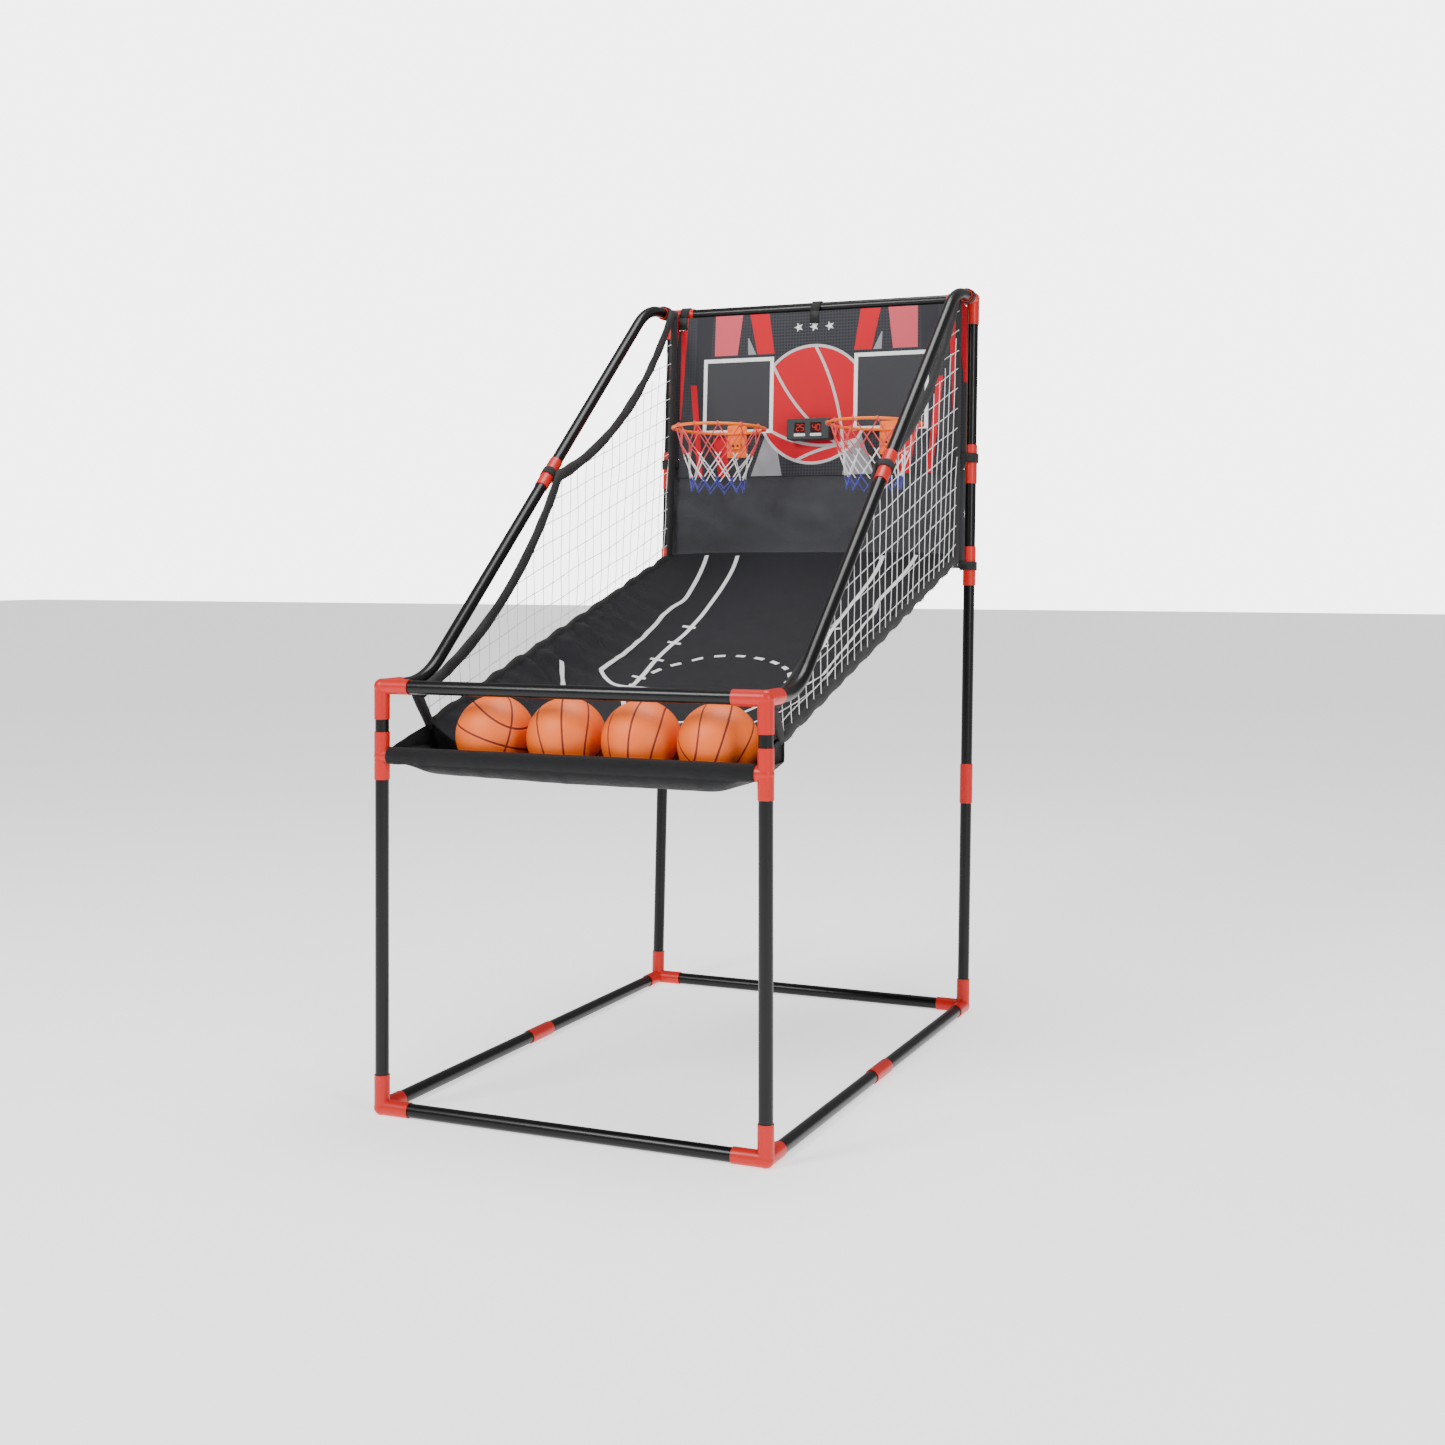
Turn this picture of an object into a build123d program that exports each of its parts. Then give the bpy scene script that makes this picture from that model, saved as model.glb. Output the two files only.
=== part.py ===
"""Two-hoop basketball shootout game on a tube frame.

A frame of round steel tubes pushed into moulded plastic sockets carries a printed backboard with
two hoops and a scoreboard, a fabric ramp that returns the balls, a fabric tray that holds them and
a net on each side. All sizes are in millimetres. X runs to the player's right, Y runs from the
player to the backboard and Z is up. The origin is on the floor, in the middle of the object.
"""
import os
from math import cos, radians, sin, sqrt, tan

from build123d import *

os.makedirs("parts", exist_ok=True)

# ---------------------------------------------------------------- frame
frame_width = 660.0          # between the axes of the left and right posts
frame_depth = 1024.0         # between the front leg and rear post axes, at the base
front_rail_height = 670.0    # top front rail above the base tubes' axes
tray_rail_drop = 110.0       # tray rail below the top front rail
rear_post_length = 1394.0    # base corner to top corner, along the raked post
rear_rake_deg = 3.0          # the rear posts lean back, so that balls fall forwards
post_joint_heights = (433.0, 861.0, 1063.0)   # sleeves on the rear post, along it

tube_diameter = 22.0
tube_wall = 1.0
socket_fit = 0.15            # radial clearance of a tube in its socket
socket_wall = 1.35
socket_reach = 52.0          # from a corner's centre to the mouth of its socket
tee_reach = 38.0
socket_floor = 13.5          # from a corner's centre to where a tube stops
hub_bulge = 0.5              # a corner's round body stands this much proud of its sockets
sleeve_length = 77.0
sleeve_stop = 1.5            # half the ring between two tubes inside a sleeve
foot_flat = 0.8              # flat land under each base socket, cut this deep
mouth_chamfer = 0.6

arm_bend_offset = 125.0      # from a corner's centre to the bend's vertex
arm_bend_radius = 150.0

# ---------------------------------------------------------------- backboard
board_side_inset = 5.0       # board's and skirt's edges inside the posts' axes
board_height = 338.0
board_thickness = 5.0
board_corner_radius = 20.0
board_drop = 10.0            # board's top edge below the top rail's axis
board_gap = 0.3              # between the board and the sockets that it leans on

hoop_offset = 167.0          # hoop centre from the board's centre line
hoop_height = 1135.0         # hoop's plane above the base tubes, along the posts
hoop_diameter = 184.0        # at the wire's centre line
hoop_wire = 6.0
hoop_plate_width = 43.0
hoop_plate_above = 18.0      # plate above and below the hoop's plane
hoop_plate_below = 50.0
hoop_plate_thickness = 2.0
hoop_screw_diameter = 4.0
hoop_screw_across = 30.0
hoop_screw_top = 11.0        # upper screw pair above the hoop's plane
hoop_screw_bottom = 43.0     # lower screw pair below it
hoop_screw_head = 2.0
hoop_screw_tail = 1.0        # shank past the nut
hoop_nut_thickness = 3.0
screw_clearance = 0.2        # radial, in the holes
back_plate_thickness = 1.5

hoop_net_length = 130.0
hoop_net_mouth = 113.0       # outer diameter at the bottom
hoop_net_thickness = 2.0
soft_gap = 0.3               # between a soft piece and what it hangs on

eye_width = 22.0             # ball sensor on the plate, below the hoop
eye_height = 14.0
eye_depth = 7.0
eye_drop = 26.0              # its centre below the hoop's plane
eye_lens_diameter = 5.0
eye_lens_pitch = 10.0
eye_lens_proud = 0.8

# ---------------------------------------------------------------- scoreboard
score_width = 92.0
score_height = 43.0
score_depth = 28.0
score_centre_height = 1138.0
score_corner = 4.0
shell_wall = 1.8
window_width = 23.0
window_height = 20.6
window_pitch = 35.0
window_lift = 3.0            # window centre above the case's centre
lens_gap = 0.15
lens_thickness = 1.6
circuit_board_thickness = 1.6
circuit_board_width = 67.0
circuit_board_gap = 0.3      # above and below, inside the case
circuit_board_depth = 11.0   # its back face in front of the backboard
display_gap = 0.4            # between a display and its lens
button_diameter = 6.0
button_pitch = 22.0
button_proud = 1.8
button_travel = 1.2
button_flange = 1.2          # thickness and radial width of the inner flange
button_gap = 0.25
button_flange_gap = 0.1      # between the flange and the case at rest
button_depth = 20.0          # button centres in front of the backboard
label_width = 24.0
label_height = 5.5
label_thickness = 0.4
label_drop = 12.0            # label centre below the case's centre

rear_case_width = 84.0
rear_case_height = 38.0
rear_case_depth = 17.0
rear_flange_width = 100.0
rear_flange_height = 50.0
rear_flange_thickness = 2.0
board_cutout_gap = 1.0
battery_diameter = 10.5
battery_length = 44.5
battery_count = 3
battery_gap = 0.3
battery_shift = -8.0         # battery centres from the middle of the case
door_height = 33.0
door_thickness = 1.6
door_gap = 0.25
door_lip = 1.2               # the case's rails overlap the door's edges by this
grip_ridges = 3
grip_pitch = 3.0
grip_depth = 0.8
speaker_diameter = 20.0
speaker_thickness = 5.0
speaker_shift = 26.0
case_screw_diameter = 3.0
case_screw_head = 5.4
case_screw_head_depth = 2.0
case_screw_across = 74.0
case_screw_rise = 27.0
case_screw_grip = 8.0        # hole's depth in the front case
boss_wall = 1.5

# ---------------------------------------------------------------- fabric, nets and straps
fabric_thickness = 2.0
skirt_hem = 4.0              # hangs this far below the ramp's rear edge, behind it
ramp_front = 112.0           # behind the front legs' axes
ramp_front_height = 533.0    # above the base tubes' axes
ramp_rear_height = 890.0
ramp_sag = 32.0
hem_front_height = 592.0
hem_rear_height = 868.0
hem_band = 30.0              # side wall above the hem line
tray_side_gap = 1.5          # between the tray's ends and the front legs' tees
tray_bottom_height = 526.5
tray_end_top = 590.0
net_thickness = 1.6
net_strap_gap = 0.8          # between a side net's rear edge and the board's straps
webbing_width = 20.0
webbing_thickness = 1.5
webbing_sag = 52.0
net_front = 87.0             # front edge of a side net, behind the front leg
net_front_height = 646.0
tie_width = 20.0
tie_thickness = 1.2
tie_gap = 0.2
strap_slot_inset = 24.0      # slot's centre from the board's edge
strap_slot_height = 3.4

# ---------------------------------------------------------------- balls
ball_diameter = 127.0
ball_gaps = (2.0, 4.0, 2.0)  # between neighbours, left to right
ball_row_shift = 0.73        # share of the tray's spare length that is left of the row
ball_to_hem = 6.1            # between a ball and the tray's front hem
ball_rest_gap = 0.3
ball_wall = 2.4

# ---------------------------------------------------------------- worked out from the sizes above
rake = radians(rear_rake_deg)
tube_radius = tube_diameter / 2
bore_radius = tube_radius + socket_fit
socket_radius = bore_radius + socket_wall
hub_radius = socket_radius + hub_bulge
post_x = frame_width / 2
base_z = socket_radius - foot_flat
tray_rail_height = front_rail_height - tray_rail_drop
rear_lean = rear_post_length * sin(rake)
strap_proud = tie_gap + tie_thickness - hub_bulge
front_y = -(frame_depth + rear_lean + strap_proud) / 2
rear_y = front_y + frame_depth

UP = Vector(0, 0, 1)
DOWN = Vector(0, 0, -1)
BACK = Vector(0, 1, 0)
FRONT = Vector(0, -1, 0)
POST_UP = Vector(0, sin(rake), cos(rake))
POST_DOWN = POST_UP * -1
BOARD_OUT = Vector(0, -cos(rake), sin(rake))

# The raked plane through both rear posts: X across, Y up the posts, Z out towards the player.
rear_plane = Plane(origin=(0, rear_y, base_z), x_dir=(1, 0, 0), z_dir=BOARD_OUT)
board_back = socket_radius + board_gap
board_front = board_back + board_thickness
board_width = frame_width - board_side_inset * 2
skirt_width = board_width
net_to_board = board_front + tie_gap + tie_thickness + net_strap_gap
board_top = rear_post_length - board_drop
board_bottom = board_top - board_height


def inward(side):
    """Direction from a post towards the middle of the frame."""
    return Vector(-side, 0, 0)


def base_front(side):
    return Vector(side * post_x, front_y, base_z)


def base_rear(side):
    return Vector(side * post_x, rear_y, base_z)


def on_post(side, height):
    return base_rear(side) + POST_UP * height


def front_top(side):
    return base_front(side) + UP * front_rail_height


def tray_node(side):
    return base_front(side) + UP * tray_rail_height


def at_board(x, height, out):
    """Point on the raked plane's grid: across, up the posts and out towards the player."""
    return rear_plane.from_local_coords(Vector(x, height, out))


def save(piece, label):
    piece.label = label
    export_step(piece, f"parts/{label}.step")


# ---------------------------------------------------------------- frame pieces
def corner_socket(centre, directions, reach=socket_reach, flat=False):
    """A moulded socket with one arm along each direction and a round body where they meet."""
    with BuildPart() as socket:
        with Locations(centre):
            Sphere(hub_radius)
        for direction in directions:
            with BuildSketch(Plane(origin=centre, z_dir=direction)):
                Circle(socket_radius)
            extrude(amount=reach)
        for direction in directions:
            with BuildSketch(Plane(origin=centre + direction * socket_floor, z_dir=direction)):
                Circle(bore_radius)
            extrude(amount=reach, mode=Mode.SUBTRACT)
        if flat:
            split(bisect_by=Plane.XY, keep=Keep.TOP)
    return socket.part


def sleeve(centre, direction, flat=False):
    """A straight sleeve over two tube ends, with a stop ring between them."""
    half = sleeve_length / 2
    with BuildPart() as coupler:
        with BuildSketch(Plane(origin=centre - direction * half, z_dir=direction)):
            Circle(socket_radius)
        extrude(amount=sleeve_length)
        chamfer(coupler.faces().sort_by(Axis(centre, direction))[0].edges(), mouth_chamfer)
        chamfer(coupler.faces().sort_by(Axis(centre, direction))[-1].edges(), mouth_chamfer)
        for way in (direction, direction * -1):
            with BuildSketch(Plane(origin=centre + way * sleeve_stop, z_dir=way)):
                Circle(bore_radius)
            extrude(amount=half, mode=Mode.SUBTRACT)
        with BuildSketch(Plane(origin=centre - direction * half, z_dir=direction)):
            Circle(bore_radius - tube_wall * 2)
        extrude(amount=sleeve_length, mode=Mode.SUBTRACT)
        if flat:
            split(bisect_by=Plane.XY, keep=Keep.TOP)
    return coupler.part


def straight_tube(start, end, start_stop=socket_floor, end_stop=socket_floor):
    """A round tube between two sockets, stopping short of each centre."""
    direction = (end - start).normalized()
    with BuildPart() as tube:
        with BuildSketch(Plane(origin=start + direction * start_stop, z_dir=direction)):
            Circle(tube_radius)
            Circle(tube_radius - tube_wall, mode=Mode.SUBTRACT)
        extrude(amount=(end - start).length - start_stop - end_stop)
    return tube.part


def bent_tube(points, start_direction):
    """A round tube along three points, with one bend at the middle point."""
    with BuildPart() as tube:
        with BuildLine():
            FilletPolyline(*points, radius=arm_bend_radius)
        with BuildSketch(Plane(origin=points[0], z_dir=start_direction)):
            Circle(tube_radius)
            Circle(tube_radius - tube_wall, mode=Mode.SUBTRACT)
        sweep()
    return tube.part


def group(pieces):
    """Separate solids that share one node."""
    with BuildPart() as together:
        for piece in pieces:
            add(piece)
    return together.part


both = (-1, 1)
side_names = {-1: "left", 1: "right"}

base_mid = {side: (base_front(side) + base_rear(side)) / 2 for side in both}
save(group(corner_socket(base_front(s), (UP, inward(s), BACK), flat=True) for s in both),
     "base_corners_front")
save(group(corner_socket(base_rear(s), (POST_UP, inward(s), FRONT), flat=True) for s in both),
     "base_corners_rear")
save(straight_tube(base_front(-1), base_front(1)), "base_front_tube")
save(straight_tube(base_rear(-1), base_rear(1)), "base_rear_tube")
for side in both:
    save(group([straight_tube(base_front(side), base_mid[side], end_stop=sleeve_stop),
                straight_tube(base_mid[side], base_rear(side), start_stop=sleeve_stop)]),
         f"base_side_tubes_{side_names[side]}")
save(group(sleeve(base_mid[s], BACK, flat=True) for s in both), "base_side_sleeves")

for side in both:
    save(group([straight_tube(base_front(side), tray_node(side)),
                straight_tube(tray_node(side), front_top(side))]),
         f"front_leg_tubes_{side_names[side]}")
save(group(corner_socket(tray_node(s), (UP, DOWN, inward(s)), reach=tee_reach) for s in both),
     "tray_tees")
save(group(corner_socket(front_top(s), (DOWN, inward(s), BACK)) for s in both),
     "front_top_corners")
save(straight_tube(front_top(-1), front_top(1)), "front_top_rail")
save(straight_tube(tray_node(-1), tray_node(1)), "tray_rail")

post_stops = (0.0, *post_joint_heights, rear_post_length)
for side in both:
    spans = list(zip(post_stops[:-1], post_stops[1:]))
    post = []
    for low, high in spans:
        post.append(straight_tube(on_post(side, low), on_post(side, high),
                                  start_stop=socket_floor if low == post_stops[0] else sleeve_stop,
                                  end_stop=socket_floor if high == post_stops[-1] else sleeve_stop))
    save(group(post), f"rear_post_tubes_{side_names[side]}")
save(group(sleeve(on_post(s, h), POST_UP) for s in both for h in post_joint_heights),
     "rear_post_sleeves")
rear_top = {side: on_post(side, rear_post_length) for side in both}
save(group(corner_socket(rear_top[s], (POST_DOWN, inward(s), FRONT)) for s in both),
     "rear_top_corners")
save(straight_tube(rear_top[-1], rear_top[1]), "rear_top_rail")

# Side arms: level out of each top corner, then sloping between two bends, with a sleeve halfway.
arm_low = {s: front_top(s) + BACK * arm_bend_offset for s in both}
arm_high = {s: rear_top[s] + FRONT * arm_bend_offset for s in both}
arm_mid = {s: (arm_low[s] + arm_high[s]) / 2 for s in both}
arm_slope = (arm_high[1] - arm_low[1]).normalized()
save(group(bent_tube((front_top(s) + BACK * socket_floor, arm_low[s],
                      arm_mid[s] - arm_slope * sleeve_stop), BACK) for s in both),
     "side_arm_lower_tubes")
save(group(bent_tube((rear_top[s] + FRONT * socket_floor, arm_high[s],
                      arm_mid[s] + arm_slope * sleeve_stop), FRONT) for s in both),
     "side_arm_upper_tubes")
save(group(sleeve(arm_mid[s], arm_slope) for s in both), "side_arm_sleeves")

# ---------------------------------------------------------------- backboard and its straps
top_strap_places = (-(post_x - socket_reach / 2 - 8), 0.0, post_x - socket_reach / 2 - 8)
side_strap_height = post_joint_heights[2] + 12
slot_width = tie_width + 2
rear_inner_width = rear_case_width + board_cutout_gap * 2
rear_inner_height = rear_case_height + board_cutout_gap * 2
board_mid_height = (board_top + board_bottom) / 2
hoop_screws = [(side * hoop_offset + dx * hoop_screw_across / 2, hoop_height + dh)
               for side in both for dx in both for dh in (hoop_screw_top, -hoop_screw_bottom)]

with BuildPart() as backboard:
    with BuildSketch(rear_plane.offset(board_back)):
        with Locations((0, board_mid_height)):
            RectangleRounded(board_width, board_height, board_corner_radius)
        with Locations(*[(x, board_top - strap_slot_inset) for x in top_strap_places]):
            SlotOverall(slot_width, strap_slot_height, mode=Mode.SUBTRACT)
        with Locations(*[(s * (board_width / 2 - strap_slot_inset), side_strap_height)
                         for s in both]):
            SlotOverall(slot_width, strap_slot_height, rotation=90, mode=Mode.SUBTRACT)
        with Locations((0, score_centre_height)):
            RectangleRounded(rear_inner_width, rear_inner_height, score_corner, mode=Mode.SUBTRACT)
        with Locations(*hoop_screws):
            Circle(hoop_screw_diameter / 2 + screw_clearance, mode=Mode.SUBTRACT)
    extrude(amount=board_thickness)
save(backboard.part, "backboard")


def belt(plane, ring_radius, low, high, thickness=tie_thickness, width=tie_width):
    """A strap drawn tight round a tube and a box section, both seen on the given plane.

    The plane's origin is on the tube's axis. low and high are the box section's opposite corners.
    """
    (x0, y0), (x1, y1) = low, high
    with BuildPart() as strap:
        for grow, mode in ((thickness, Mode.ADD), (0.0, Mode.SUBTRACT)):
            with BuildSketch(plane.offset(-width / 2)):
                Circle(ring_radius + tie_gap + grow)
                with Locations(((x0 + x1) / 2, (y0 + y1) / 2)):
                    Rectangle(x1 - x0 + grow * 2, y1 - y0 + grow * 2)
                make_hull(mode=Mode.REPLACE)
            extrude(amount=width, mode=mode)
    return strap.part


def board_strap(plane, ring_radius, board_edge, slot):
    return belt(plane, ring_radius, (board_back - tie_gap, slot),
                (board_front + tie_gap, board_edge + tie_gap))


save(group([board_strap(
    Plane(origin=at_board(x, rear_post_length, 0), x_dir=BOARD_OUT, z_dir=(-1, 0, 0)),
    socket_radius if x else tube_radius, -board_drop, board_top - strap_slot_inset - rear_post_length)
    for x in top_strap_places]
    + [board_strap(
        Plane(origin=at_board(s * post_x, side_strap_height, 0), x_dir=BOARD_OUT,
              z_dir=POST_UP * s),
        socket_radius, board_width / 2 - post_x, board_width / 2 - strap_slot_inset - post_x)
       for s in both]), "backboard_straps")

# ---------------------------------------------------------------- hoops
plate_height = hoop_plate_above + hoop_plate_below
plate_middle = hoop_height + (hoop_plate_above - hoop_plate_below) / 2
plate_front = board_front + hoop_plate_thickness
hoop_out = plate_front + hoop_wire / 2 + hoop_diameter / 2 - 0.5
hoop_inner = hoop_diameter / 2 - hoop_wire / 2

for side in both:
    x = side * hoop_offset
    own_screws = [place for place in hoop_screws if place[0] * side > 0]
    with BuildPart() as hoop:
        with BuildSketch(rear_plane.offset(board_front)):
            with Locations((x, plate_middle)):
                RectangleRounded(hoop_plate_width, plate_height, 4)
            with Locations(*own_screws):
                Circle(hoop_screw_diameter / 2 + screw_clearance, mode=Mode.SUBTRACT)
        extrude(amount=hoop_plate_thickness)
        ring_plane = Plane(origin=at_board(x, hoop_height, hoop_out), z_dir=POST_UP)
        with BuildSketch(Plane(origin=at_board(x + hoop_diameter / 2, hoop_height, hoop_out),
                               z_dir=BOARD_OUT)):
            Circle(hoop_wire / 2)
        revolve(axis=Axis(ring_plane.origin, POST_UP))
    save(hoop.part, f"hoop_{side_names[side]}")

    with BuildPart() as net:
        profile_plane = Plane(origin=ring_plane.origin, x_dir=(1, 0, 0), z_dir=BOARD_OUT)
        with BuildSketch(profile_plane):
            with BuildLine():
                top = hoop_inner - soft_gap
                low = hoop_net_mouth / 2
                Polyline((top, 0), (low, -hoop_net_length), (low - hoop_net_thickness, -hoop_net_length),
                         (top - hoop_net_thickness, 0), close=True)
            make_face()
        revolve(axis=Axis(ring_plane.origin, POST_UP))
    save(net.part, f"hoop_net_{side_names[side]}")

with BuildPart() as back_plates:
    with BuildSketch(rear_plane.offset(board_back - back_plate_thickness)):
        with Locations((-hoop_offset, plate_middle), (hoop_offset, plate_middle)):
            RectangleRounded(hoop_plate_width, plate_height, 4)
        with Locations(*hoop_screws):
            Circle(hoop_screw_diameter / 2 + screw_clearance, mode=Mode.SUBTRACT)
    extrude(amount=back_plate_thickness)
save(back_plates.part, "hoop_back_plates")

nut_back = board_back - back_plate_thickness - hoop_nut_thickness
with BuildPart() as screws:
    with BuildSketch(rear_plane.offset(plate_front)):
        with Locations(*hoop_screws):
            Circle(hoop_screw_diameter)
    extrude(amount=hoop_screw_head)
    fillet(screws.faces().sort_by(Axis((0, 0, 0), BOARD_OUT))[-8:].edges(), hoop_screw_head / 2)
    with BuildSketch(rear_plane.offset(nut_back - hoop_screw_tail)):
        with Locations(*hoop_screws):
            Circle(hoop_screw_diameter / 2)
    extrude(amount=plate_front - nut_back + hoop_screw_tail)
save(screws.part, "hoop_screws")

with BuildPart() as nuts:
    with BuildSketch(rear_plane.offset(nut_back)):
        with Locations(*hoop_screws):
            RegularPolygon(hoop_screw_diameter * 0.9, 6)
            Circle(hoop_screw_diameter / 2, mode=Mode.SUBTRACT)
    extrude(amount=hoop_nut_thickness)
save(nuts.part, "hoop_nuts")

with BuildPart() as eyes:
    with BuildSketch(rear_plane.offset(plate_front)):
        with Locations(*[(s * hoop_offset, hoop_height - eye_drop) for s in both]):
            RectangleRounded(eye_width, eye_height, 2)
    extrude(amount=eye_depth)
save(eyes.part, "hoop_sensors")

with BuildPart() as lenses:
    with BuildSketch(rear_plane.offset(plate_front + eye_depth)):
        with Locations(*[(s * hoop_offset + d * eye_lens_pitch / 2, hoop_height - eye_drop)
                         for s in both for d in both]):
            Circle(eye_lens_diameter / 2)
    extrude(amount=eye_lens_proud)
save(lenses.part, "hoop_sensor_lenses")

# ---------------------------------------------------------------- scoreboard, front half
case_front = board_front + score_depth
window_places = [(s * window_pitch / 2, score_centre_height + window_lift) for s in both]
button_places = [(s * button_pitch / 2, button_depth) for s in both]
case_screws = [(dx * case_screw_across / 2, score_centre_height + dy * case_screw_rise / 2)
               for dx in both for dy in both]
boss_radius = case_screw_diameter / 2 + boss_wall
score_top = score_centre_height + score_height / 2
score_roof = score_top - shell_wall
# Looking down the posts onto the case's roof: X across, Y out towards the player.
roof_plane = Plane(origin=at_board(0, score_top, board_front), x_dir=(-1, 0, 0), z_dir=POST_UP)

with BuildPart() as case:
    with BuildSketch(rear_plane.offset(board_front)):
        with Locations((0, score_centre_height)):
            RectangleRounded(score_width, score_height, score_corner)
    extrude(amount=score_depth)
    chamfer(case.faces().sort_by(Axis((0, 0, 0), BOARD_OUT))[-1].edges(), 1.0)
    with BuildSketch(rear_plane.offset(board_front)):
        with Locations((0, score_centre_height)):
            RectangleRounded(score_width - shell_wall * 2, score_height - shell_wall * 2,
                             score_corner - shell_wall)
        with Locations(*case_screws):
            Circle(boss_radius, mode=Mode.SUBTRACT)
    extrude(amount=score_depth - shell_wall, mode=Mode.SUBTRACT)
    with BuildSketch(rear_plane.offset(board_front)):
        with Locations(*case_screws):
            Circle(case_screw_diameter / 2)
    extrude(amount=case_screw_grip, mode=Mode.SUBTRACT)
    with BuildSketch(rear_plane.offset(case_front - shell_wall)):
        with Locations(*window_places):
            Rectangle(window_width, window_height)
    extrude(amount=shell_wall, mode=Mode.SUBTRACT)
    with BuildSketch(roof_plane.offset(-shell_wall)):
        with Locations(*button_places):
            Circle(button_diameter / 2 + button_gap)
    extrude(amount=shell_wall, mode=Mode.SUBTRACT)
save(case.part, "scoreboard_case")

with BuildPart() as window:
    with BuildSketch(rear_plane.offset(case_front - shell_wall)):
        with Locations(*window_places):
            Rectangle(window_width - lens_gap * 2, window_height - lens_gap * 2)
    extrude(amount=lens_thickness)
save(window.part, "score_windows")

with BuildPart() as labels:
    with BuildSketch(rear_plane.offset(case_front)):
        with Locations(*[(s * window_pitch / 2, score_centre_height - label_drop) for s in both]):
            RectangleRounded(label_width, label_height, 1)
    extrude(amount=label_thickness)
save(labels.part, "scoreboard_labels")

circuit_front = board_front + circuit_board_depth + circuit_board_thickness
with BuildPart() as circuit:
    with BuildSketch(rear_plane.offset(board_front + circuit_board_depth)):
        with Locations((0, score_centre_height)):
            Rectangle(circuit_board_width, score_height - shell_wall * 2 - circuit_board_gap * 2)
    extrude(amount=circuit_board_thickness)
save(circuit.part, "circuit_board")

with BuildPart() as displays:
    with BuildSketch(rear_plane.offset(circuit_front)):
        with Locations(*window_places):
            Rectangle(window_width - 1, window_height - 1)
    extrude(amount=case_front - shell_wall - display_gap - circuit_front)
save(displays.part, "score_displays")

for place, label in zip(button_places, ("button_right", "button_left")):
    with BuildPart() as button:
        with BuildSketch(roof_plane.offset(button_proud)):
            with Locations(place):
                Circle(button_diameter / 2)
        extrude(amount=-(button_proud + shell_wall + button_flange_gap))
        chamfer(button.faces().sort_by(Axis((0, 0, 0), POST_UP))[-1].edges(), 0.5)
        with BuildSketch(roof_plane.offset(-shell_wall - button_flange_gap)):
            with Locations(place):
                Circle(button_diameter / 2 + button_flange)
        extrude(amount=-button_flange)
    save(button.part, label)

# ---------------------------------------------------------------- scoreboard, rear half
rear_back = board_front - rear_case_depth
rear_wall_back = board_front - shell_wall
door_back = rear_back + door_lip + door_gap
slot_front = door_back + door_thickness + door_gap
slot_height = door_height + door_gap * 2
case_end = rear_case_width / 2

with BuildPart() as rear_case:
    with BuildSketch(rear_plane.offset(rear_back)):
        with Locations((0, score_centre_height)):
            RectangleRounded(rear_case_width, rear_case_height, score_corner)
    extrude(amount=rear_case_depth)
    with BuildSketch(rear_plane.offset(board_back - rear_flange_thickness)):
        with Locations((0, score_centre_height)):
            RectangleRounded(rear_flange_width, rear_flange_height, score_corner)
    extrude(amount=rear_flange_thickness)
    with BuildSketch(rear_plane.offset(slot_front)):
        with Locations((0, score_centre_height)):
            Rectangle(rear_case_width - shell_wall * 2, rear_case_height - shell_wall * 2)
    extrude(amount=rear_wall_back - slot_front, mode=Mode.SUBTRACT)
    with BuildSketch(rear_plane.offset(rear_back + door_lip)):
        with Locations((shell_wall / 2, score_centre_height)):
            Rectangle(rear_case_width - shell_wall, slot_height)
    extrude(amount=slot_front - rear_back - door_lip, mode=Mode.SUBTRACT)
    with BuildSketch(rear_plane.offset(rear_back)):
        with Locations((shell_wall / 2, score_centre_height)):
            Rectangle(rear_case_width - shell_wall, slot_height - door_lip * 2)
    extrude(amount=door_lip, mode=Mode.SUBTRACT)
    with BuildSketch(rear_plane.offset(rear_wall_back)):
        with Locations(*case_screws):
            Circle(case_screw_diameter / 2 + screw_clearance)
    extrude(amount=shell_wall, mode=Mode.SUBTRACT)
save(rear_case.part, "battery_case")

door_width = rear_case_width - shell_wall - door_gap
with BuildPart() as door:
    with BuildSketch(rear_plane.offset(door_back)):
        with Locations((case_end - door_width / 2, score_centre_height)):
            Rectangle(door_width, door_height)
    extrude(amount=door_thickness)
    with BuildSketch(rear_plane.offset(door_back)):
        with Locations(*[(case_end - 10 - n * grip_pitch, score_centre_height)
                         for n in range(grip_ridges)]):
            Rectangle(grip_pitch / 3, door_height / 2)
    extrude(amount=-grip_depth)
save(door.part, "battery_door")

with BuildPart() as batteries:
    middle = (battery_count - 1) / 2
    for n in range(battery_count):
        rise = (n - middle) * (battery_diameter + battery_gap)
        start = at_board(battery_shift - battery_length / 2, score_centre_height + rise,
                         rear_wall_back - battery_gap - battery_diameter / 2)
        with BuildSketch(Plane(origin=start, z_dir=(1, 0, 0))):
            Circle(battery_diameter / 2)
        extrude(amount=battery_length)
save(batteries.part, "batteries")

with BuildPart() as speaker:
    with BuildSketch(rear_plane.offset(rear_wall_back)):
        with Locations((speaker_shift, score_centre_height)):
            Circle(speaker_diameter / 2)
    extrude(amount=-speaker_thickness)
save(speaker.part, "speaker")

with BuildPart() as fixings:
    with BuildSketch(rear_plane.offset(rear_wall_back)):
        with Locations(*case_screws):
            Circle(case_screw_head / 2)
    extrude(amount=-case_screw_head_depth)
    with BuildSketch(rear_plane.offset(rear_wall_back)):
        with Locations(*case_screws):
            Circle(case_screw_diameter / 2)
    extrude(amount=shell_wall + case_screw_grip - 1)
save(fixings.part, "case_screws")

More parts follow.
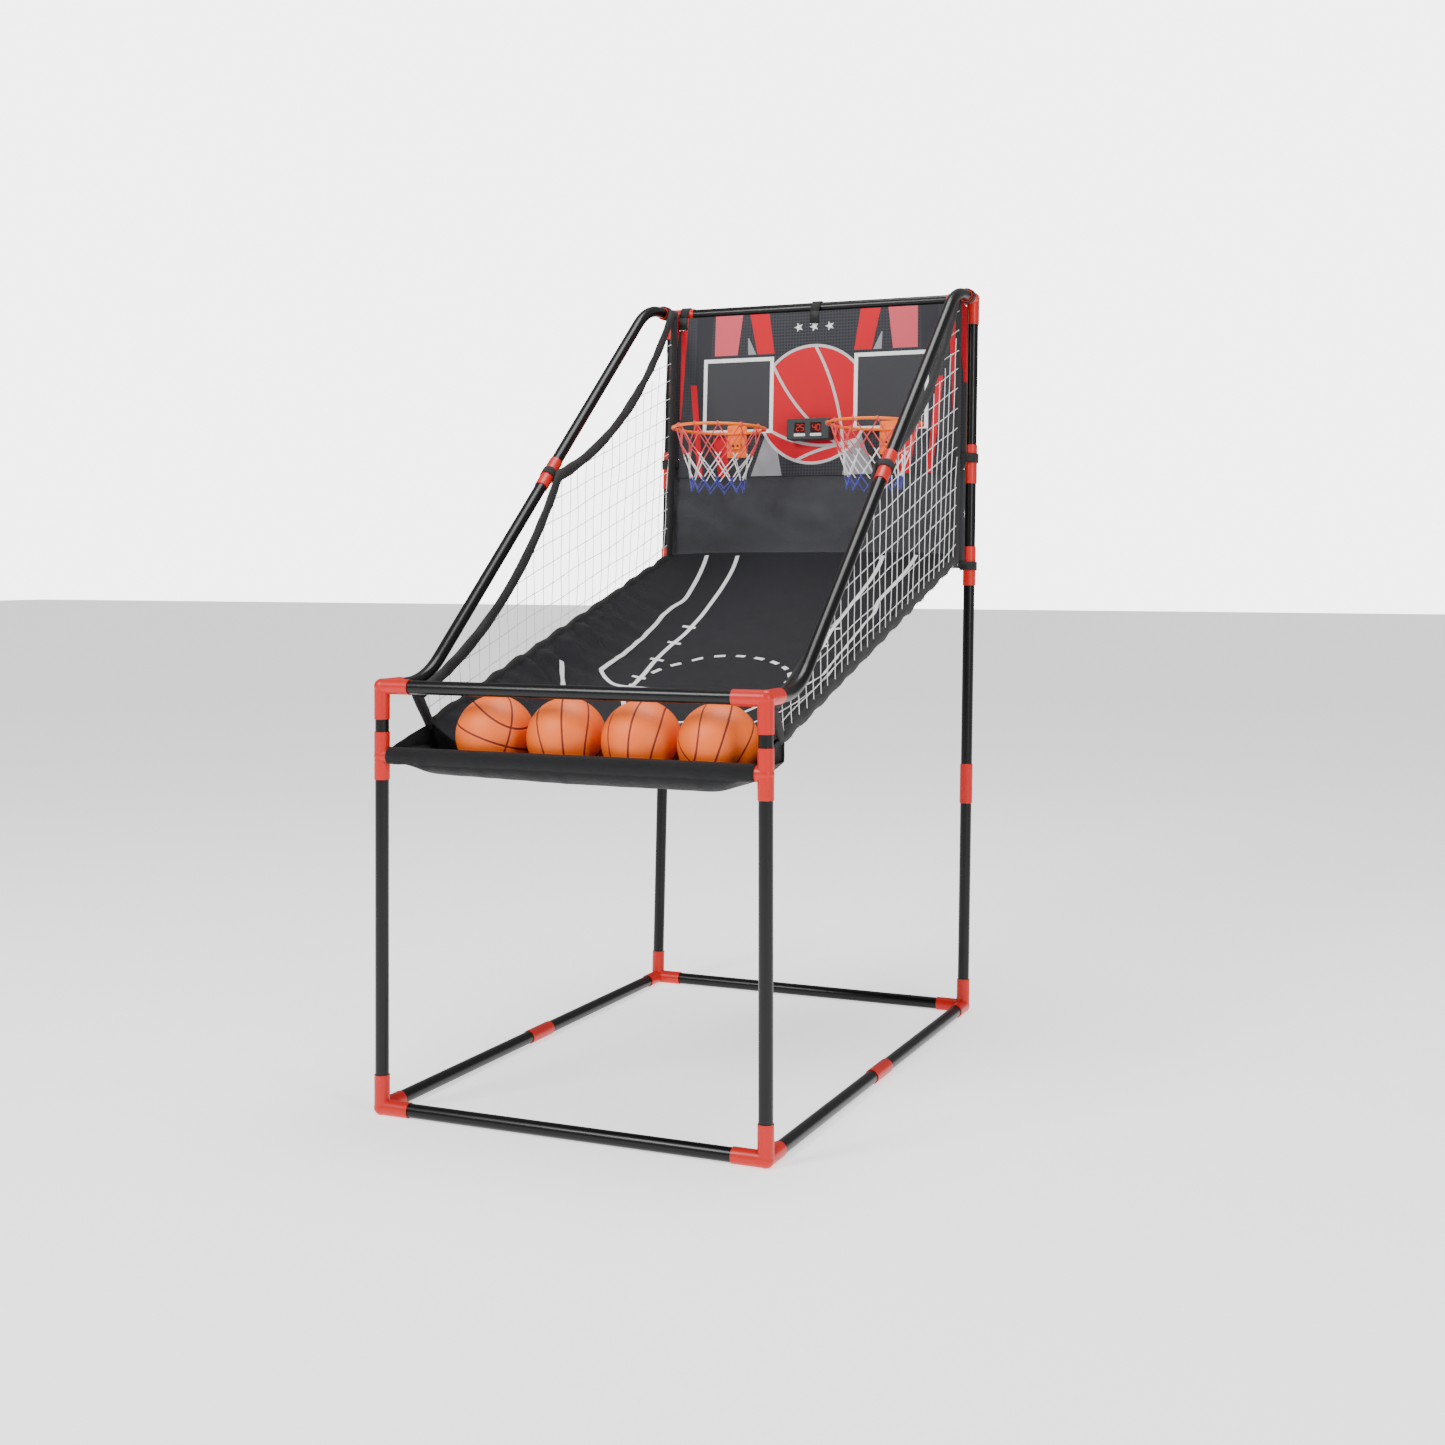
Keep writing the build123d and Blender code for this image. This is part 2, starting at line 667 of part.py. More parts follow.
# ---------------------------------------------------------------- fabric
# Side view: Y behind the front legs and Z above the base tubes.
webbing_outer = post_x - socket_radius - tie_gap - tie_thickness - soft_gap
net_outer = webbing_outer - webbing_thickness - soft_gap
ramp_half_width = net_outer - net_thickness - soft_gap
skirt_out = board_back + (board_thickness - fabric_thickness) / 2


def side_view(x):
    return Plane(origin=(x, front_y, base_z), x_dir=(0, 1, 0), z_dir=(1, 0, 0))


def layer(side, outer, thickness):
    """Side view at the near face of an upright layer, whose outer face is at the given X."""
    return side_view(outer - thickness if side > 0 else -outer)


def net_rear(height):
    return frame_depth + height * tan(rake) - net_to_board / cos(rake)


skirt_front = skirt_out + fabric_thickness + soft_gap
ramp_rear = frame_depth + ramp_rear_height * tan(rake) - skirt_front / cos(rake)
ramp_run = ramp_rear - ramp_front
ramp_rise = ramp_rear_height - ramp_front_height
ramp_middle = ((ramp_front + ramp_rear) / 2, (ramp_front_height + ramp_rear_height) / 2 - ramp_sag)


def ramp_arc(drop):
    ThreePointArc((ramp_front, ramp_front_height - drop), (ramp_middle[0], ramp_middle[1] - drop),
                  (ramp_rear, ramp_rear_height - drop))


with BuildPart() as ramp:
    with BuildSketch(side_view(-ramp_half_width)):
        with BuildLine():
            ramp_arc(0)
            ramp_arc(fabric_thickness)
            for y, z in ((ramp_front, ramp_front_height), (ramp_rear, ramp_rear_height)):
                Line((y, z), (y, z - fabric_thickness))
        make_face()
    extrude(amount=ramp_half_width * 2)
    wall_rear = net_rear(hem_rear_height) - 1
    for side in both:
        with BuildSketch(layer(side, ramp_half_width, fabric_thickness)):
            with BuildLine():
                ramp_arc(fabric_thickness)
                front = (ramp_front, hem_front_height + hem_band)
                rear = (wall_rear, hem_rear_height + hem_band)
                Polyline((ramp_front, ramp_front_height - fabric_thickness), front, rear,
                         (ramp_rear, ramp_rear_height), (ramp_rear, ramp_rear_height - fabric_thickness))
            make_face()
        extrude(amount=fabric_thickness)
save(ramp.part, "ramp")

skirt_low = (ramp_rear_height - skirt_hem) / cos(rake)
skirt_high = board_bottom - soft_gap
with BuildPart() as skirt:
    with BuildSketch(rear_plane.offset(skirt_out)):
        with Locations((0, (skirt_low + skirt_high) / 2)):
            Rectangle(skirt_width, skirt_high - skirt_low)
    extrude(amount=fabric_thickness)
save(skirt.part, "skirt")

tray_rear = ramp_front - soft_gap
tray_half_width = post_x - socket_radius - tray_side_gap
hem = fabric_thickness
with BuildPart() as tray:
    with BuildSketch(side_view(-tray_half_width)):
        with BuildLine():
            Polyline((-tube_radius, tray_rail_height - tube_radius), (tube_radius * 2, tray_bottom_height),
                     (tray_rear, tray_bottom_height), (tray_rear, ramp_front_height),
                     (tray_rear - hem, ramp_front_height), (tray_rear - hem, tray_bottom_height + hem),
                     (tube_radius * 2, tray_bottom_height + hem), (tube_radius, tray_rail_height),
                     close=True)
        make_face()
        with Locations((0, tray_rail_height)):
            Circle(socket_radius + soft_gap + hem)
            Circle(socket_radius + soft_gap, mode=Mode.SUBTRACT)
    extrude(amount=tray_half_width * 2)
    for x in (-tray_half_width, tray_half_width - hem):
        with BuildSketch(side_view(x)):
            with BuildLine():
                Polyline((tube_radius * 2, tray_bottom_height), (tray_rear, tray_bottom_height),
                         (tray_rear, tray_end_top), (tube_radius * 2, tray_end_top), close=True)
            make_face()
        extrude(amount=hem)
save(tray.part, "ball_tray")

# ---------------------------------------------------------------- side nets and their webbing
arm_top = rear_post_length * cos(rake)
rear_hook = (net_rear(arm_top) - tie_width * 1.5, arm_top + tie_width / 4)
rear_corner = (net_rear(arm_top), arm_top + tie_width / 4)
middle_hook = (arm_mid[1].Y - front_y, arm_mid[1].Z - base_z + tie_width / 4)
front_hook = (net_front, net_front_height)
front_foot = (ramp_front, hem_front_height)
rear_foot = (net_rear(hem_rear_height), hem_rear_height)


def hanging(start, end):
    """The middle of an edge that hangs below the straight line between two places."""
    run = end[0] - start[0]
    rise = end[1] - start[1]
    length = sqrt(run * run + rise * rise)
    return ((start[0] + end[0]) / 2 + webbing_sag * rise / length,
            (start[1] + end[1]) / 2 - webbing_sag * run / length)


def side_outline():
    ThreePointArc(front_hook, hanging(front_hook, middle_hook), middle_hook)
    ThreePointArc(middle_hook, hanging(middle_hook, rear_hook), rear_hook)
    Polyline(rear_hook, rear_corner, rear_foot, front_foot, front_hook)


for side in both:
    with BuildPart() as side_net:
        with BuildSketch(layer(side, net_outer, net_thickness)):
            with BuildLine():
                side_outline()
            make_face()
        extrude(amount=net_thickness)
    save(side_net.part, f"side_net_{side_names[side]}")
    with BuildPart() as webbing:
        with BuildSketch(layer(side, webbing_outer, webbing_thickness)):
            with BuildLine():
                side_outline()
            make_face()
            offset(amount=-webbing_width, kind=Kind.INTERSECTION, mode=Mode.SUBTRACT)
        extrude(amount=webbing_thickness)
    save(webbing.part, f"net_webbing_{side_names[side]}")

ties = []
for side in both:
    post_tie = on_post(side, post_joint_heights[1])
    tie_end = net_to_board - soft_gap
    inner = post_x - webbing_outer
    ties += [belt(Plane(origin=arm_mid[side], z_dir=arm_slope), socket_radius,
                  (-socket_radius, -1), (socket_radius, 1)),
             belt(Plane(origin=rear_top[side] + FRONT * (socket_reach - tie_width / 2 - 2),
                        z_dir=FRONT), socket_radius, (-socket_radius, -1), (socket_radius, 1)),
             belt(Plane(origin=post_tie, x_dir=BOARD_OUT, z_dir=POST_UP * side), socket_radius,
                  (0, -inner), (tie_end - tie_thickness, tie_thickness * 3 - inner))]
save(group(ties), "net_ties")

# ---------------------------------------------------------------- balls
ball_radius = ball_diameter / 2
ball_height = tray_bottom_height + hem + ball_rest_gap + ball_radius
hem_to_ball = socket_radius + soft_gap + hem + ball_to_hem + ball_radius
ball_behind_rail = sqrt(hem_to_ball ** 2 - (ball_height - tray_rail_height) ** 2)
row_length = ball_diameter * (len(ball_gaps) + 1) + sum(ball_gaps)
row_start = (tray_half_width * 2 - row_length) * ball_row_shift - tray_half_width + ball_radius
for n in range(1, len(ball_gaps) + 2):
    x = row_start + ball_diameter * (n - 1) + sum(ball_gaps[:n - 1])
    with BuildPart() as ball:
        with Locations((x, front_y + ball_behind_rail, base_z + ball_height)):
            Sphere(ball_radius)
            Sphere(ball_radius - ball_wall, mode=Mode.SUBTRACT)
    save(ball.part, f"ball_{n}")
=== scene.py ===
"""The looks of a two-hoop basketball game: tubes, printed board, cloth ramp, nets and balls."""
from math import atan2, ceil, cos, exp, hypot, pi, radians, sin

import bmesh
import bpy
from mathutils import Euler, Matrix, Vector, noise


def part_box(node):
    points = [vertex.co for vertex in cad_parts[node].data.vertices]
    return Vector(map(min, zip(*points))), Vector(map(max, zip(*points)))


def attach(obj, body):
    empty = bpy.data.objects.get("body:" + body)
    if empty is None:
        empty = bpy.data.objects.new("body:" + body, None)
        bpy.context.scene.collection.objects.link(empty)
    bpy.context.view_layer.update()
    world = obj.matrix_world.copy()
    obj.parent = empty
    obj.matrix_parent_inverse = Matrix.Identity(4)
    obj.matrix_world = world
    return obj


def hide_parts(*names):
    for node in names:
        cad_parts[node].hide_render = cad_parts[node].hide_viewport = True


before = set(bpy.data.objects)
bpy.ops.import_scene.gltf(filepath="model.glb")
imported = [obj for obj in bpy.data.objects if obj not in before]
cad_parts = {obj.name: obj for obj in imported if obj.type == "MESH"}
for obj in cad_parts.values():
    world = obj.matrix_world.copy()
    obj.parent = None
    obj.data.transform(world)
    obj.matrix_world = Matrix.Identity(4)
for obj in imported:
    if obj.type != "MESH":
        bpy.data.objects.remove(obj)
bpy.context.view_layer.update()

MM = 0.001


def middle(node):
    low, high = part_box(node)
    return (Vector(low) + Vector(high)) / 2


# ------------------------------------------------------------------ the frame's own measures, in mm
RAKE = radians(3.0)
FRONT_Y = middle("front_top_rail").y / MM
BASE_Z = middle("base_front_tube").z / MM
REAR_Y = middle("base_rear_tube").y / MM
POST_X = middle("base_side_tubes_right").x / MM
DEPTH = REAR_Y - FRONT_Y
POST_UP = Vector((0, sin(RAKE), cos(RAKE)))
BOARD_OUT = Vector((0, -cos(RAKE), sin(RAKE)))
RAIL_Z = middle("tray_rail").z / MM - BASE_Z
TUBE = 11.0
SOCKET = 12.5
POST_LENGTH = 1394.0
BOARD_BACK = 12.8
BOARD_FRONT = 17.8
BOARD_TOP = POST_LENGTH - 10
BOARD_BOTTOM = BOARD_TOP - 338
HOOP_X = middle("hoop_right").x / MM
HOOP_H = 1135.0
HOOP_OUT = 114.3
HOOP_R = 92.0
SCORE_H = 1138.0
SIDES = (-1, 1)

# Radii of strings and knots, thicknesses of cloth, and the print's ball, in mm.
HOOP_STRING, HOOP_KNOT = 1.25, 2.3
SIDE_STRING, SIDE_KNOT = 0.7, 1.35
RED_BAND_END, BLUE_BAND_START = 55, 103
CLOTH_THICKNESS, STRAP_THICKNESS = 1.2, 1.1
PRINT_BALL_H, PRINT_BALL_R, PRINT_LINE = 1192.0, 121.0, 3.0


def at_board(x, height, out):
    """Across, up the rear posts and out towards the player, in mm, to a place in metres."""
    return (Vector((x, REAR_Y, BASE_Z)) + POST_UP * height + BOARD_OUT * out) * MM


def at_side(x, y, z):
    """Behind the front legs and above the base tubes, in mm, to a place in metres."""
    return Vector((x, y + FRONT_Y, z + BASE_Z)) * MM


# ------------------------------------------------------------------ shader sums
class Val:
    """A number on a shader socket, so that a pattern can be written as a sum."""

    def __init__(self, finish, socket):
        self.finish = finish
        self.socket = socket

    def math(self, operation, *others):
        return self.finish.math(operation, self, *others)

    def __add__(self, other):
        return self.math("ADD", other)

    def __sub__(self, other):
        return self.math("SUBTRACT", other)

    def __rsub__(self, other):
        return self.finish.math("SUBTRACT", other, self)

    def __mul__(self, other):
        return self.math("MULTIPLY", other)

    def __truediv__(self, other):
        return self.math("DIVIDE", other)

    def __abs__(self):
        return self.math("ABSOLUTE")

    def __lt__(self, other):
        return self.math("LESS_THAN", other)

    def __gt__(self, other):
        return self.math("GREATER_THAN", other)

    __radd__ = __add__
    __rmul__ = __mul__


class Finish:
    """A material with one Principled shader, and short ways to add its nodes."""

    def __init__(self, name, colour, roughness=0.5, **sockets):
        self.material = bpy.data.materials.new(name)
        self.material.use_nodes = True
        self.tree = self.material.node_tree
        self.shader = self.tree.nodes["Principled BSDF"]
        self.material.diffuse_color = (*colour, 1)
        self.set("Base Color", (*colour, 1))
        self.set("Roughness", roughness)
        for socket, value in sockets.items():
            self.set(socket.replace("_", " ").title().replace("Ior", "IOR"), value)

    def set(self, socket, value):
        self.join(self.shader.inputs[socket], value)

    def join(self, socket, value):
        if isinstance(value, Val):
            self.tree.links.new(value.socket, socket)
        elif isinstance(value, bpy.types.NodeSocket):
            self.tree.links.new(value, socket)
        else:
            socket.default_value = value

    def node(self, kind, settings=None, inputs=None):
        node = self.tree.nodes.new("ShaderNode" + kind)
        for key, value in (settings or {}).items():
            setattr(node, key, value)
        for key, value in (inputs or {}).items():
            self.join(node.inputs[key], value)
        return node

    def math(self, operation, *values):
        node = self.node("Math", {"operation": operation}, dict(enumerate(values)))
        return Val(self, node.outputs[0])

    def place(self, output="Object", shift=(0, 0, 0), scale=(1, 1, 1), turn=(0, 0, 0)):
        source = self.node("TexCoord").outputs[output]
        mapping = self.node("Mapping", None,
                            {"Vector": source, "Location": shift, "Scale": scale, "Rotation": turn})
        return mapping.outputs[0]

    def axes(self, vector):
        split = self.node("SeparateXYZ", None, {0: vector})
        return [Val(self, out) for out in split.outputs]

    def noise(self, vector, scale, detail=2.0, roughness=0.5):
        node = self.node("TexNoise", None, {"Vector": vector, "Scale": scale, "Detail": detail,
                                            "Roughness": roughness})
        return Val(self, node.outputs["Fac"])

    def cells(self, vector, scale):
        node = self.node("TexVoronoi", None, {"Vector": vector, "Scale": scale})
        return Val(self, node.outputs["Distance"])

    def mix(self, amount, first, second):
        node = self.node("Mix", {"data_type": "RGBA"}, {0: amount})
        for place, value in ((6, first), (7, second)):
            self.join(node.inputs[place], (*value, 1) if isinstance(value, tuple) else value)
        return node.outputs[2]

    def bump(self, height, strength, distance):
        node = self.node("Bump", None, {"Strength": strength, "Distance": distance,
                                        "Height": height})
        self.set("Normal", node.outputs[0])


# ------------------------------------------------------------------ finishes
def moulded(name, colour, roughness=0.36, grain=0.02, shine=0.3):
    """Moulded plastic: a faint grain, small changes of gloss and a little scuffing."""
    finish = Finish(name, colour, roughness, specular_ior_level=shine)
    where = finish.place()
    cloud = finish.noise(where, 9.0, 3.0)
    scuff = finish.noise(where, 160.0, 4.0, 0.7)
    finish.set("Roughness", roughness - 0.06 + cloud * 0.08 + scuff * 0.06)
    darker = tuple(c * 0.86 for c in colour)
    finish.set("Base Color", finish.mix(cloud, colour, darker))
    finish.bump(finish.noise(where, 900.0, 2.0), grain * 8, 0.0001)
    return finish.material


def painted(name, colour, roughness=0.25, coat=0.4, peel=0.03):
    """Glossy powder coat over steel, with orange peel and dust in its gloss."""
    finish = Finish(name, colour, roughness, coat_roughness=0.12, specular_ior_level=0.25)
    where = finish.place()
    dust = finish.noise(where, 40.0, 4.0, 0.65)
    finish.set("Roughness", roughness + dust * 0.06)
    finish.set("Coat Weight", coat * (1.2 - dust * 0.5))
    lighter = tuple(min(1, c * 1.3 + 0.0015) for c in colour)
    finish.set("Base Color", finish.mix(dust * 0.5, colour, lighter))
    finish.bump(finish.noise(where, 420.0, 1.0), peel, 0.0001)
    return finish.material


def cloth(name, colour, pitch=0.9, roughness=0.78, cloud_scale=7.0, light=1.35, crease=0.0):
    """Plain-woven polyester on the piece's own UV map, which is in metres."""
    finish = Finish(name, colour, roughness, sheen_weight=0.03, sheen_roughness=0.4,
                    specular_ior_level=0.22)
    across, along, _ = finish.axes(finish.place("UV"))
    warp = (across * (2 * pi / (pitch * MM))).math("SINE")
    weft = (along * (2 * pi / (pitch * MM))).math("SINE")
    weave = warp * weft
    where = finish.place()
    cloud = finish.noise(where, cloud_scale, 4.0, 0.6)
    tone = cloud * 0.8 + weave * 0.12
    finish.set("Base Color", finish.mix(tone, tuple(c * 0.75 for c in colour),
                                        tuple(min(1, c * light) for c in colour)))
    finish.set("Roughness", roughness - 0.1 + cloud * 0.2)
    height = weave * 0.25 + finish.noise(where, 38.0, 3.0, 0.55) * (0.9 + crease)
    finish.bump(height, 0.55, 0.0012)
    return finish.material


def webbing_finish(name, colour):
    """Narrow woven tape, ribbed along its length."""
    finish = Finish(name, colour, 0.8, sheen_weight=0.04)
    across, along, _ = finish.axes(finish.place("UV"))
    rib = (across * (2 * pi / (1.6 * MM))).math("SINE")
    pick = (along * (2 * pi / (1.1 * MM))).math("SINE")
    speck = finish.noise(finish.place(), 220.0, 3.0)
    finish.set("Base Color", finish.mix(speck, tuple(c * 0.6 for c in colour),
                                        tuple(c * 1.6 for c in colour)))
    finish.bump(rib * 0.6 + pick * 0.4, 0.6, 0.0004)
    return finish.material


def string(name, colour, roughness=0.7, tint=None):
    """Twisted cord: its strands show as fine slanting ridges."""
    finish = Finish(name, colour, roughness, sheen_weight=0.3)
    where = finish.place()
    fibre = finish.noise(where, 500.0, 3.0, 0.6)
    finish.set("Base Color", finish.mix(fibre, tuple(c * 0.72 for c in colour), tint or colour))
    finish.bump(fibre, 0.5, 0.0004)
    return finish


def up_posts(y, z):
    """Height up the raked rear posts in mm, from a place's own y and z on shader sockets."""
    return ((y - REAR_Y * MM) * sin(RAKE) + (z - BASE_Z * MM) * cos(RAKE)) * 1000.0


def net_bands(name):
    """Red, white and blue bands down a hoop's net."""
    finish = string(name, (0.8, 0.8, 0.8))
    x, y, z = finish.axes(finish.place())
    height = up_posts(y, z)
    red = height > HOOP_H - RED_BAND_END
    blue = height < HOOP_H - BLUE_BAND_START
    fibre = finish.noise(finish.place(), 500.0, 3.0)
    white = finish.mix(fibre, (0.62, 0.62, 0.62), (0.86, 0.86, 0.86))
    with_red = finish.mix(red, white, (0.70, 0.035, 0.04))
    finish.set("Base Color", finish.mix(blue, with_red, (0.022, 0.025, 0.32)))
    return finish.material


RED = (0.58, 0.014, 0.009)
red_plastic = moulded("red plastic", RED, 0.33)
black_paint = painted("black tube", (0.0025, 0.0025, 0.003), 0.27, 0.05)
orange_paint = painted("orange hoop", (0.92, 0.16, 0.003), 0.32, 0.1)
case_plastic = moulded("scoreboard plastic", (0.018, 0.025, 0.027), 0.45, 0.03)
button_plastic = moulded("button plastic", RED, 0.3)
label_card = moulded("label card", (0.80, 0.80, 0.80), 0.6)
ramp_cloth = cloth("ramp cloth", (0.0088, 0.0090, 0.0125), roughness=0.6, crease=0.9)
skirt_cloth = cloth("skirt cloth", (0.041, 0.042, 0.047), light=2.0, crease=3.0)
tray_cloth = cloth("tray cloth", (0.0075, 0.0078, 0.009), roughness=0.66, crease=1.6)
tape = webbing_finish("net tape", (0.009, 0.009, 0.010))
strap_tape = webbing_finish("strap tape", (0.005, 0.005, 0.0055))
white_string = string("white string", (0.90, 0.90, 0.90)).material
hoop_string = net_bands("hoop net string")
court_paint = cloth("court line print", (0.93, 0.93, 0.93), light=1.05)


def steel_finish():
    finish = Finish("zinc plate", (0.55, 0.55, 0.57), 0.32, metallic=1.0)
    fine = finish.noise(finish.place(scale=(1, 1, 6)), 300.0, 3.0)
    finish.set("Roughness", 0.24 + fine * 0.2)
    return finish.material


def glow(name, colour, strength):
    finish = Finish(name, colour, 0.4)
    finish.set("Emission Color", (*colour, 1))
    finish.set("Emission Strength", strength)
    return finish.material


def window_finish():
    finish = Finish("score window", (0.05, 0.004, 0.005), 0.12)
    finish.set("Alpha", 0.45)
    smear = finish.noise(finish.place(), 60.0, 3.0)
    finish.set("Roughness", 0.06 + smear * 0.12)
    return finish.material


steel = steel_finish()
digit_light = glow("digit light", (1.0, 0.05, 0.03), 2.2)
window_pane = window_finish()
display_body = moulded("display body", (0.02, 0.006, 0.006), 0.5)


def print_finish():
    """The backboard's front print: aiming squares, a ball, slanting bands and fading dots."""
    finish = Finish("printed board", (0.07, 0.07, 0.08), 0.55, specular_ior_level=0.1)
    x, y, z = finish.axes(finish.place())
    across = x * 1000.0
    side = abs(across)
    height = up_posts(y, z)
    dark, inner = (0.036, 0.037, 0.043), (0.044, 0.045, 0.050)
    red, pink, grey = (0.55, 0.008, 0.020), (0.60, 0.085, 0.11), (0.26, 0.26, 0.28)

    def band(top_low, top_high, low_low, low_high, top, bottom):
        """A band between two heights whose two edges each lean by their own amount."""
        down = (top - height) / (top - bottom)
        left = top_low + down * (low_low - top_low)
        right = top_high + down * (low_high - top_high)
        return (side > left) * (side < right) * (height < top) * (height > bottom)

    # Dots that shrink away from the ball.
    cell = 6.5
    dx = (across / cell).math("FRACT") - 0.5
    dy = (height / cell).math("FRACT") - 0.5
    from_ball = ((across * across) + (height - PRINT_BALL_H) * (height - PRINT_BALL_H)).math("SQRT")
    dot_size = 0.46 - from_ball * 0.0009
    dots = ((dx * dx + dy * dy).math("SQRT") < dot_size) * (from_ball > PRINT_BALL_R)
    shade = finish.noise(finish.place(), 6.0, 2.0)
    colour = finish.mix(shade, dark, tuple(c * 1.25 for c in dark))
    colour = finish.mix(dots * 0.8, colour, (0.016, 0.016, 0.019))

    def lay(mask, paint):
        nonlocal colour
        colour = finish.mix(mask, colour, paint)

    lay(band(226, 262, 244, 270, 1384, 1050), (0.030, 0.030, 0.036))
    lay(band(159, 221, 170, 222, 1384, 1300), pink)
    lay(band(145, 147, 128, 146, 1335, 1300), grey)
    lay(band(100, 143, 87, 125, 1384, 1300), red)
    lay(band(303, 322, 319, 325, 1384, 1225), red)
    lay(band(284, 300, 297, 300, 1384, 1168), red)
    lay(band(262, 276, 244, 256, 1240, 1046), red)
    lay(band(190, 222, 184, 208, 1128, 1046), red)
    lay(band(83, 105, 66, 135, 1129, 1046), grey)

    # The ball, with its outline and seams.
    lay(from_ball < PRINT_BALL_R + PRINT_LINE, (0.52, 0.50, 0.52))
    lay(from_ball < PRINT_BALL_R - PRINT_LINE, red)
    ball_in = from_ball < PRINT_BALL_R
    rise = height - PRINT_BALL_H
    for cx, cy, r in ((277, 254, 404), (-403, -116, 470), (26, 146, 231), (102, -384, 302)):
        ring = ((across - cx) * (across - cx) + (rise - cy) * (rise - cy)).math("SQRT") - r
        lay((abs(ring) < PRINT_LINE) * ball_in, (0.52, 0.50, 0.52))

    # Aiming squares.
    off_x, off_y = abs(side - 167.0), abs(height - 1214.5)
    reach = off_x.math("MAXIMUM", off_y)
    lay(reach < 79.0, (0.86, 0.86, 0.86))
    lay(reach < 71.0, inner)
    out = (z - BASE_Z * MM) * sin(RAKE) - (y - REAR_Y * MM) * cos(RAKE)
    front = out > (BOARD_FRONT - 0.3) * MM
    finish.set("Base Color", finish.mix(front, (0.15, 0.095, 0.058), colour))
    fine = finish.noise(finish.place(), 300.0, 2.0)
    finish.set("Roughness", 0.42 + fine * 0.16)
    finish.bump(fine, 0.15, 0.0002)
    return finish.material


board_print = print_finish()


def ball_finish(name, centre, turn):
    """Pebbled rubber with dark seams, on the ball's own axes."""
    finish = Finish(name, (0.80, 0.17, 0.035), 0.5)
    local = finish.node("Mapping", {"vector_type": "TEXTURE"},
                        {"Vector": finish.node("TexCoord").outputs["Object"],
                         "Location": centre, "Rotation": turn,
                         "Scale": (BALL_R, BALL_R, BALL_R)}).outputs[0]
    x, y, z = finish.axes(local)
    seam = (abs(y).math("MINIMUM", abs(z))).math(
        "MINIMUM", abs(abs(y) - SEAM_WAIST - z * z * SEAM_FLARE))
    mask = seam < SEAM_HALF
    pebble = finish.cells(local, 46.0)
    cloud = finish.noise(local, 3.0, 3.0)
    skin = finish.mix(cloud, (0.98, 0.165, 0.004), (0.92, 0.140, 0.003))
    skin = finish.mix(pebble * 0.3, skin, (0.80, 0.100, 0.002))
    finish.set("Base Color", finish.mix(mask, skin, (0.16, 0.010, 0.006)))
    finish.set("Roughness", 0.42 + pebble * 0.2 + mask * 0.15)
    finish.bump(pebble * (1.0 - mask), 0.35, 0.0006)
    return finish.material


# ------------------------------------------------------------------ making pieces
def keep(name, bm, material, body="frame", nodes=(), smooth=True, thickness=0.0):
    """Turns a bmesh into a piece that rides on a body."""
    mesh = bpy.data.meshes.new(name)
    bm.to_mesh(mesh)
    bm.free()
    mesh.polygons.foreach_set("use_smooth", [smooth] * len(mesh.polygons))
    piece = bpy.data.objects.new(name, mesh)
    bpy.context.collection.objects.link(piece)
    mesh.materials.append(material)
    if thickness:
        wall = piece.modifiers.new("wall", "SOLIDIFY")
        wall.thickness = thickness
        wall.offset = 0.0
    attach(piece, body)
    if nodes:
        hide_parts(*nodes)
    return piece


def sheet_mesh(nu, nv, place, size=(1.0, 1.0), close_u=False, bm=None):
    """A grid laid where place(u, v) says, with its UV map in metres. u and v run from 0 to 1."""
    bm = bm or bmesh.new()
    uv = bm.loops.layers.uv.get("UVMap") or bm.loops.layers.uv.new("UVMap")
    made = bmesh.ops.create_grid(bm, x_segments=nu, y_segments=nv, size=0.5)["verts"]
    spots = {v: (v.co.x + 0.5, v.co.y + 0.5) for v in made}
    for face in {f for v in made for f in v.link_faces}:
        for loop in face.loops:
            u, v = spots[loop.vert]
            loop[uv].uv = (u * size[0], v * size[1])
    for v in made:
        v.co = place(*spots[v])
    if close_u:
        bmesh.ops.remove_doubles(bm, verts=made, dist=1e-6)
    return bm


def cords(name, routes, radius):
    """Round cords along lists of places, each open or closed, as one mesh."""
    curve = bpy.data.curves.new(name, "CURVE")
    curve.dimensions = "3D"
    curve.bevel_depth = radius
    curve.bevel_resolution = 1
    curve.use_fill_caps = True
    curve.resolution_u = 3
    for route, closed in routes:
        spline = curve.splines.new("NURBS")
        spline.points.add(len(route) - 1)
        for point, place in zip(spline.points, route):
            point.co = (*place, 1)
        spline.use_cyclic_u = closed
        spline.order_u = 3
        spline.use_endpoint_u = not closed
    holder = bpy.data.objects.new(name + " line", curve)
    mesh = bpy.data.meshes.new_from_object(holder)
    bpy.data.objects.remove(holder)
    bm = bmesh.new()
    bm.from_mesh(mesh)
    bpy.data.meshes.remove(mesh)
    return bm


def add_knots(bm, places, radius):
    for place in places:
        bmesh.ops.create_icosphere(bm, subdivisions=1, radius=radius,
                                   matrix=Matrix.Translation(place))


# ------------------------------------------------------------------ CAD nodes that stay
def dress(material, *nodes):
    for node in nodes:
        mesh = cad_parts[node].data
        mesh.materials.clear()
        mesh.materials.append(material)


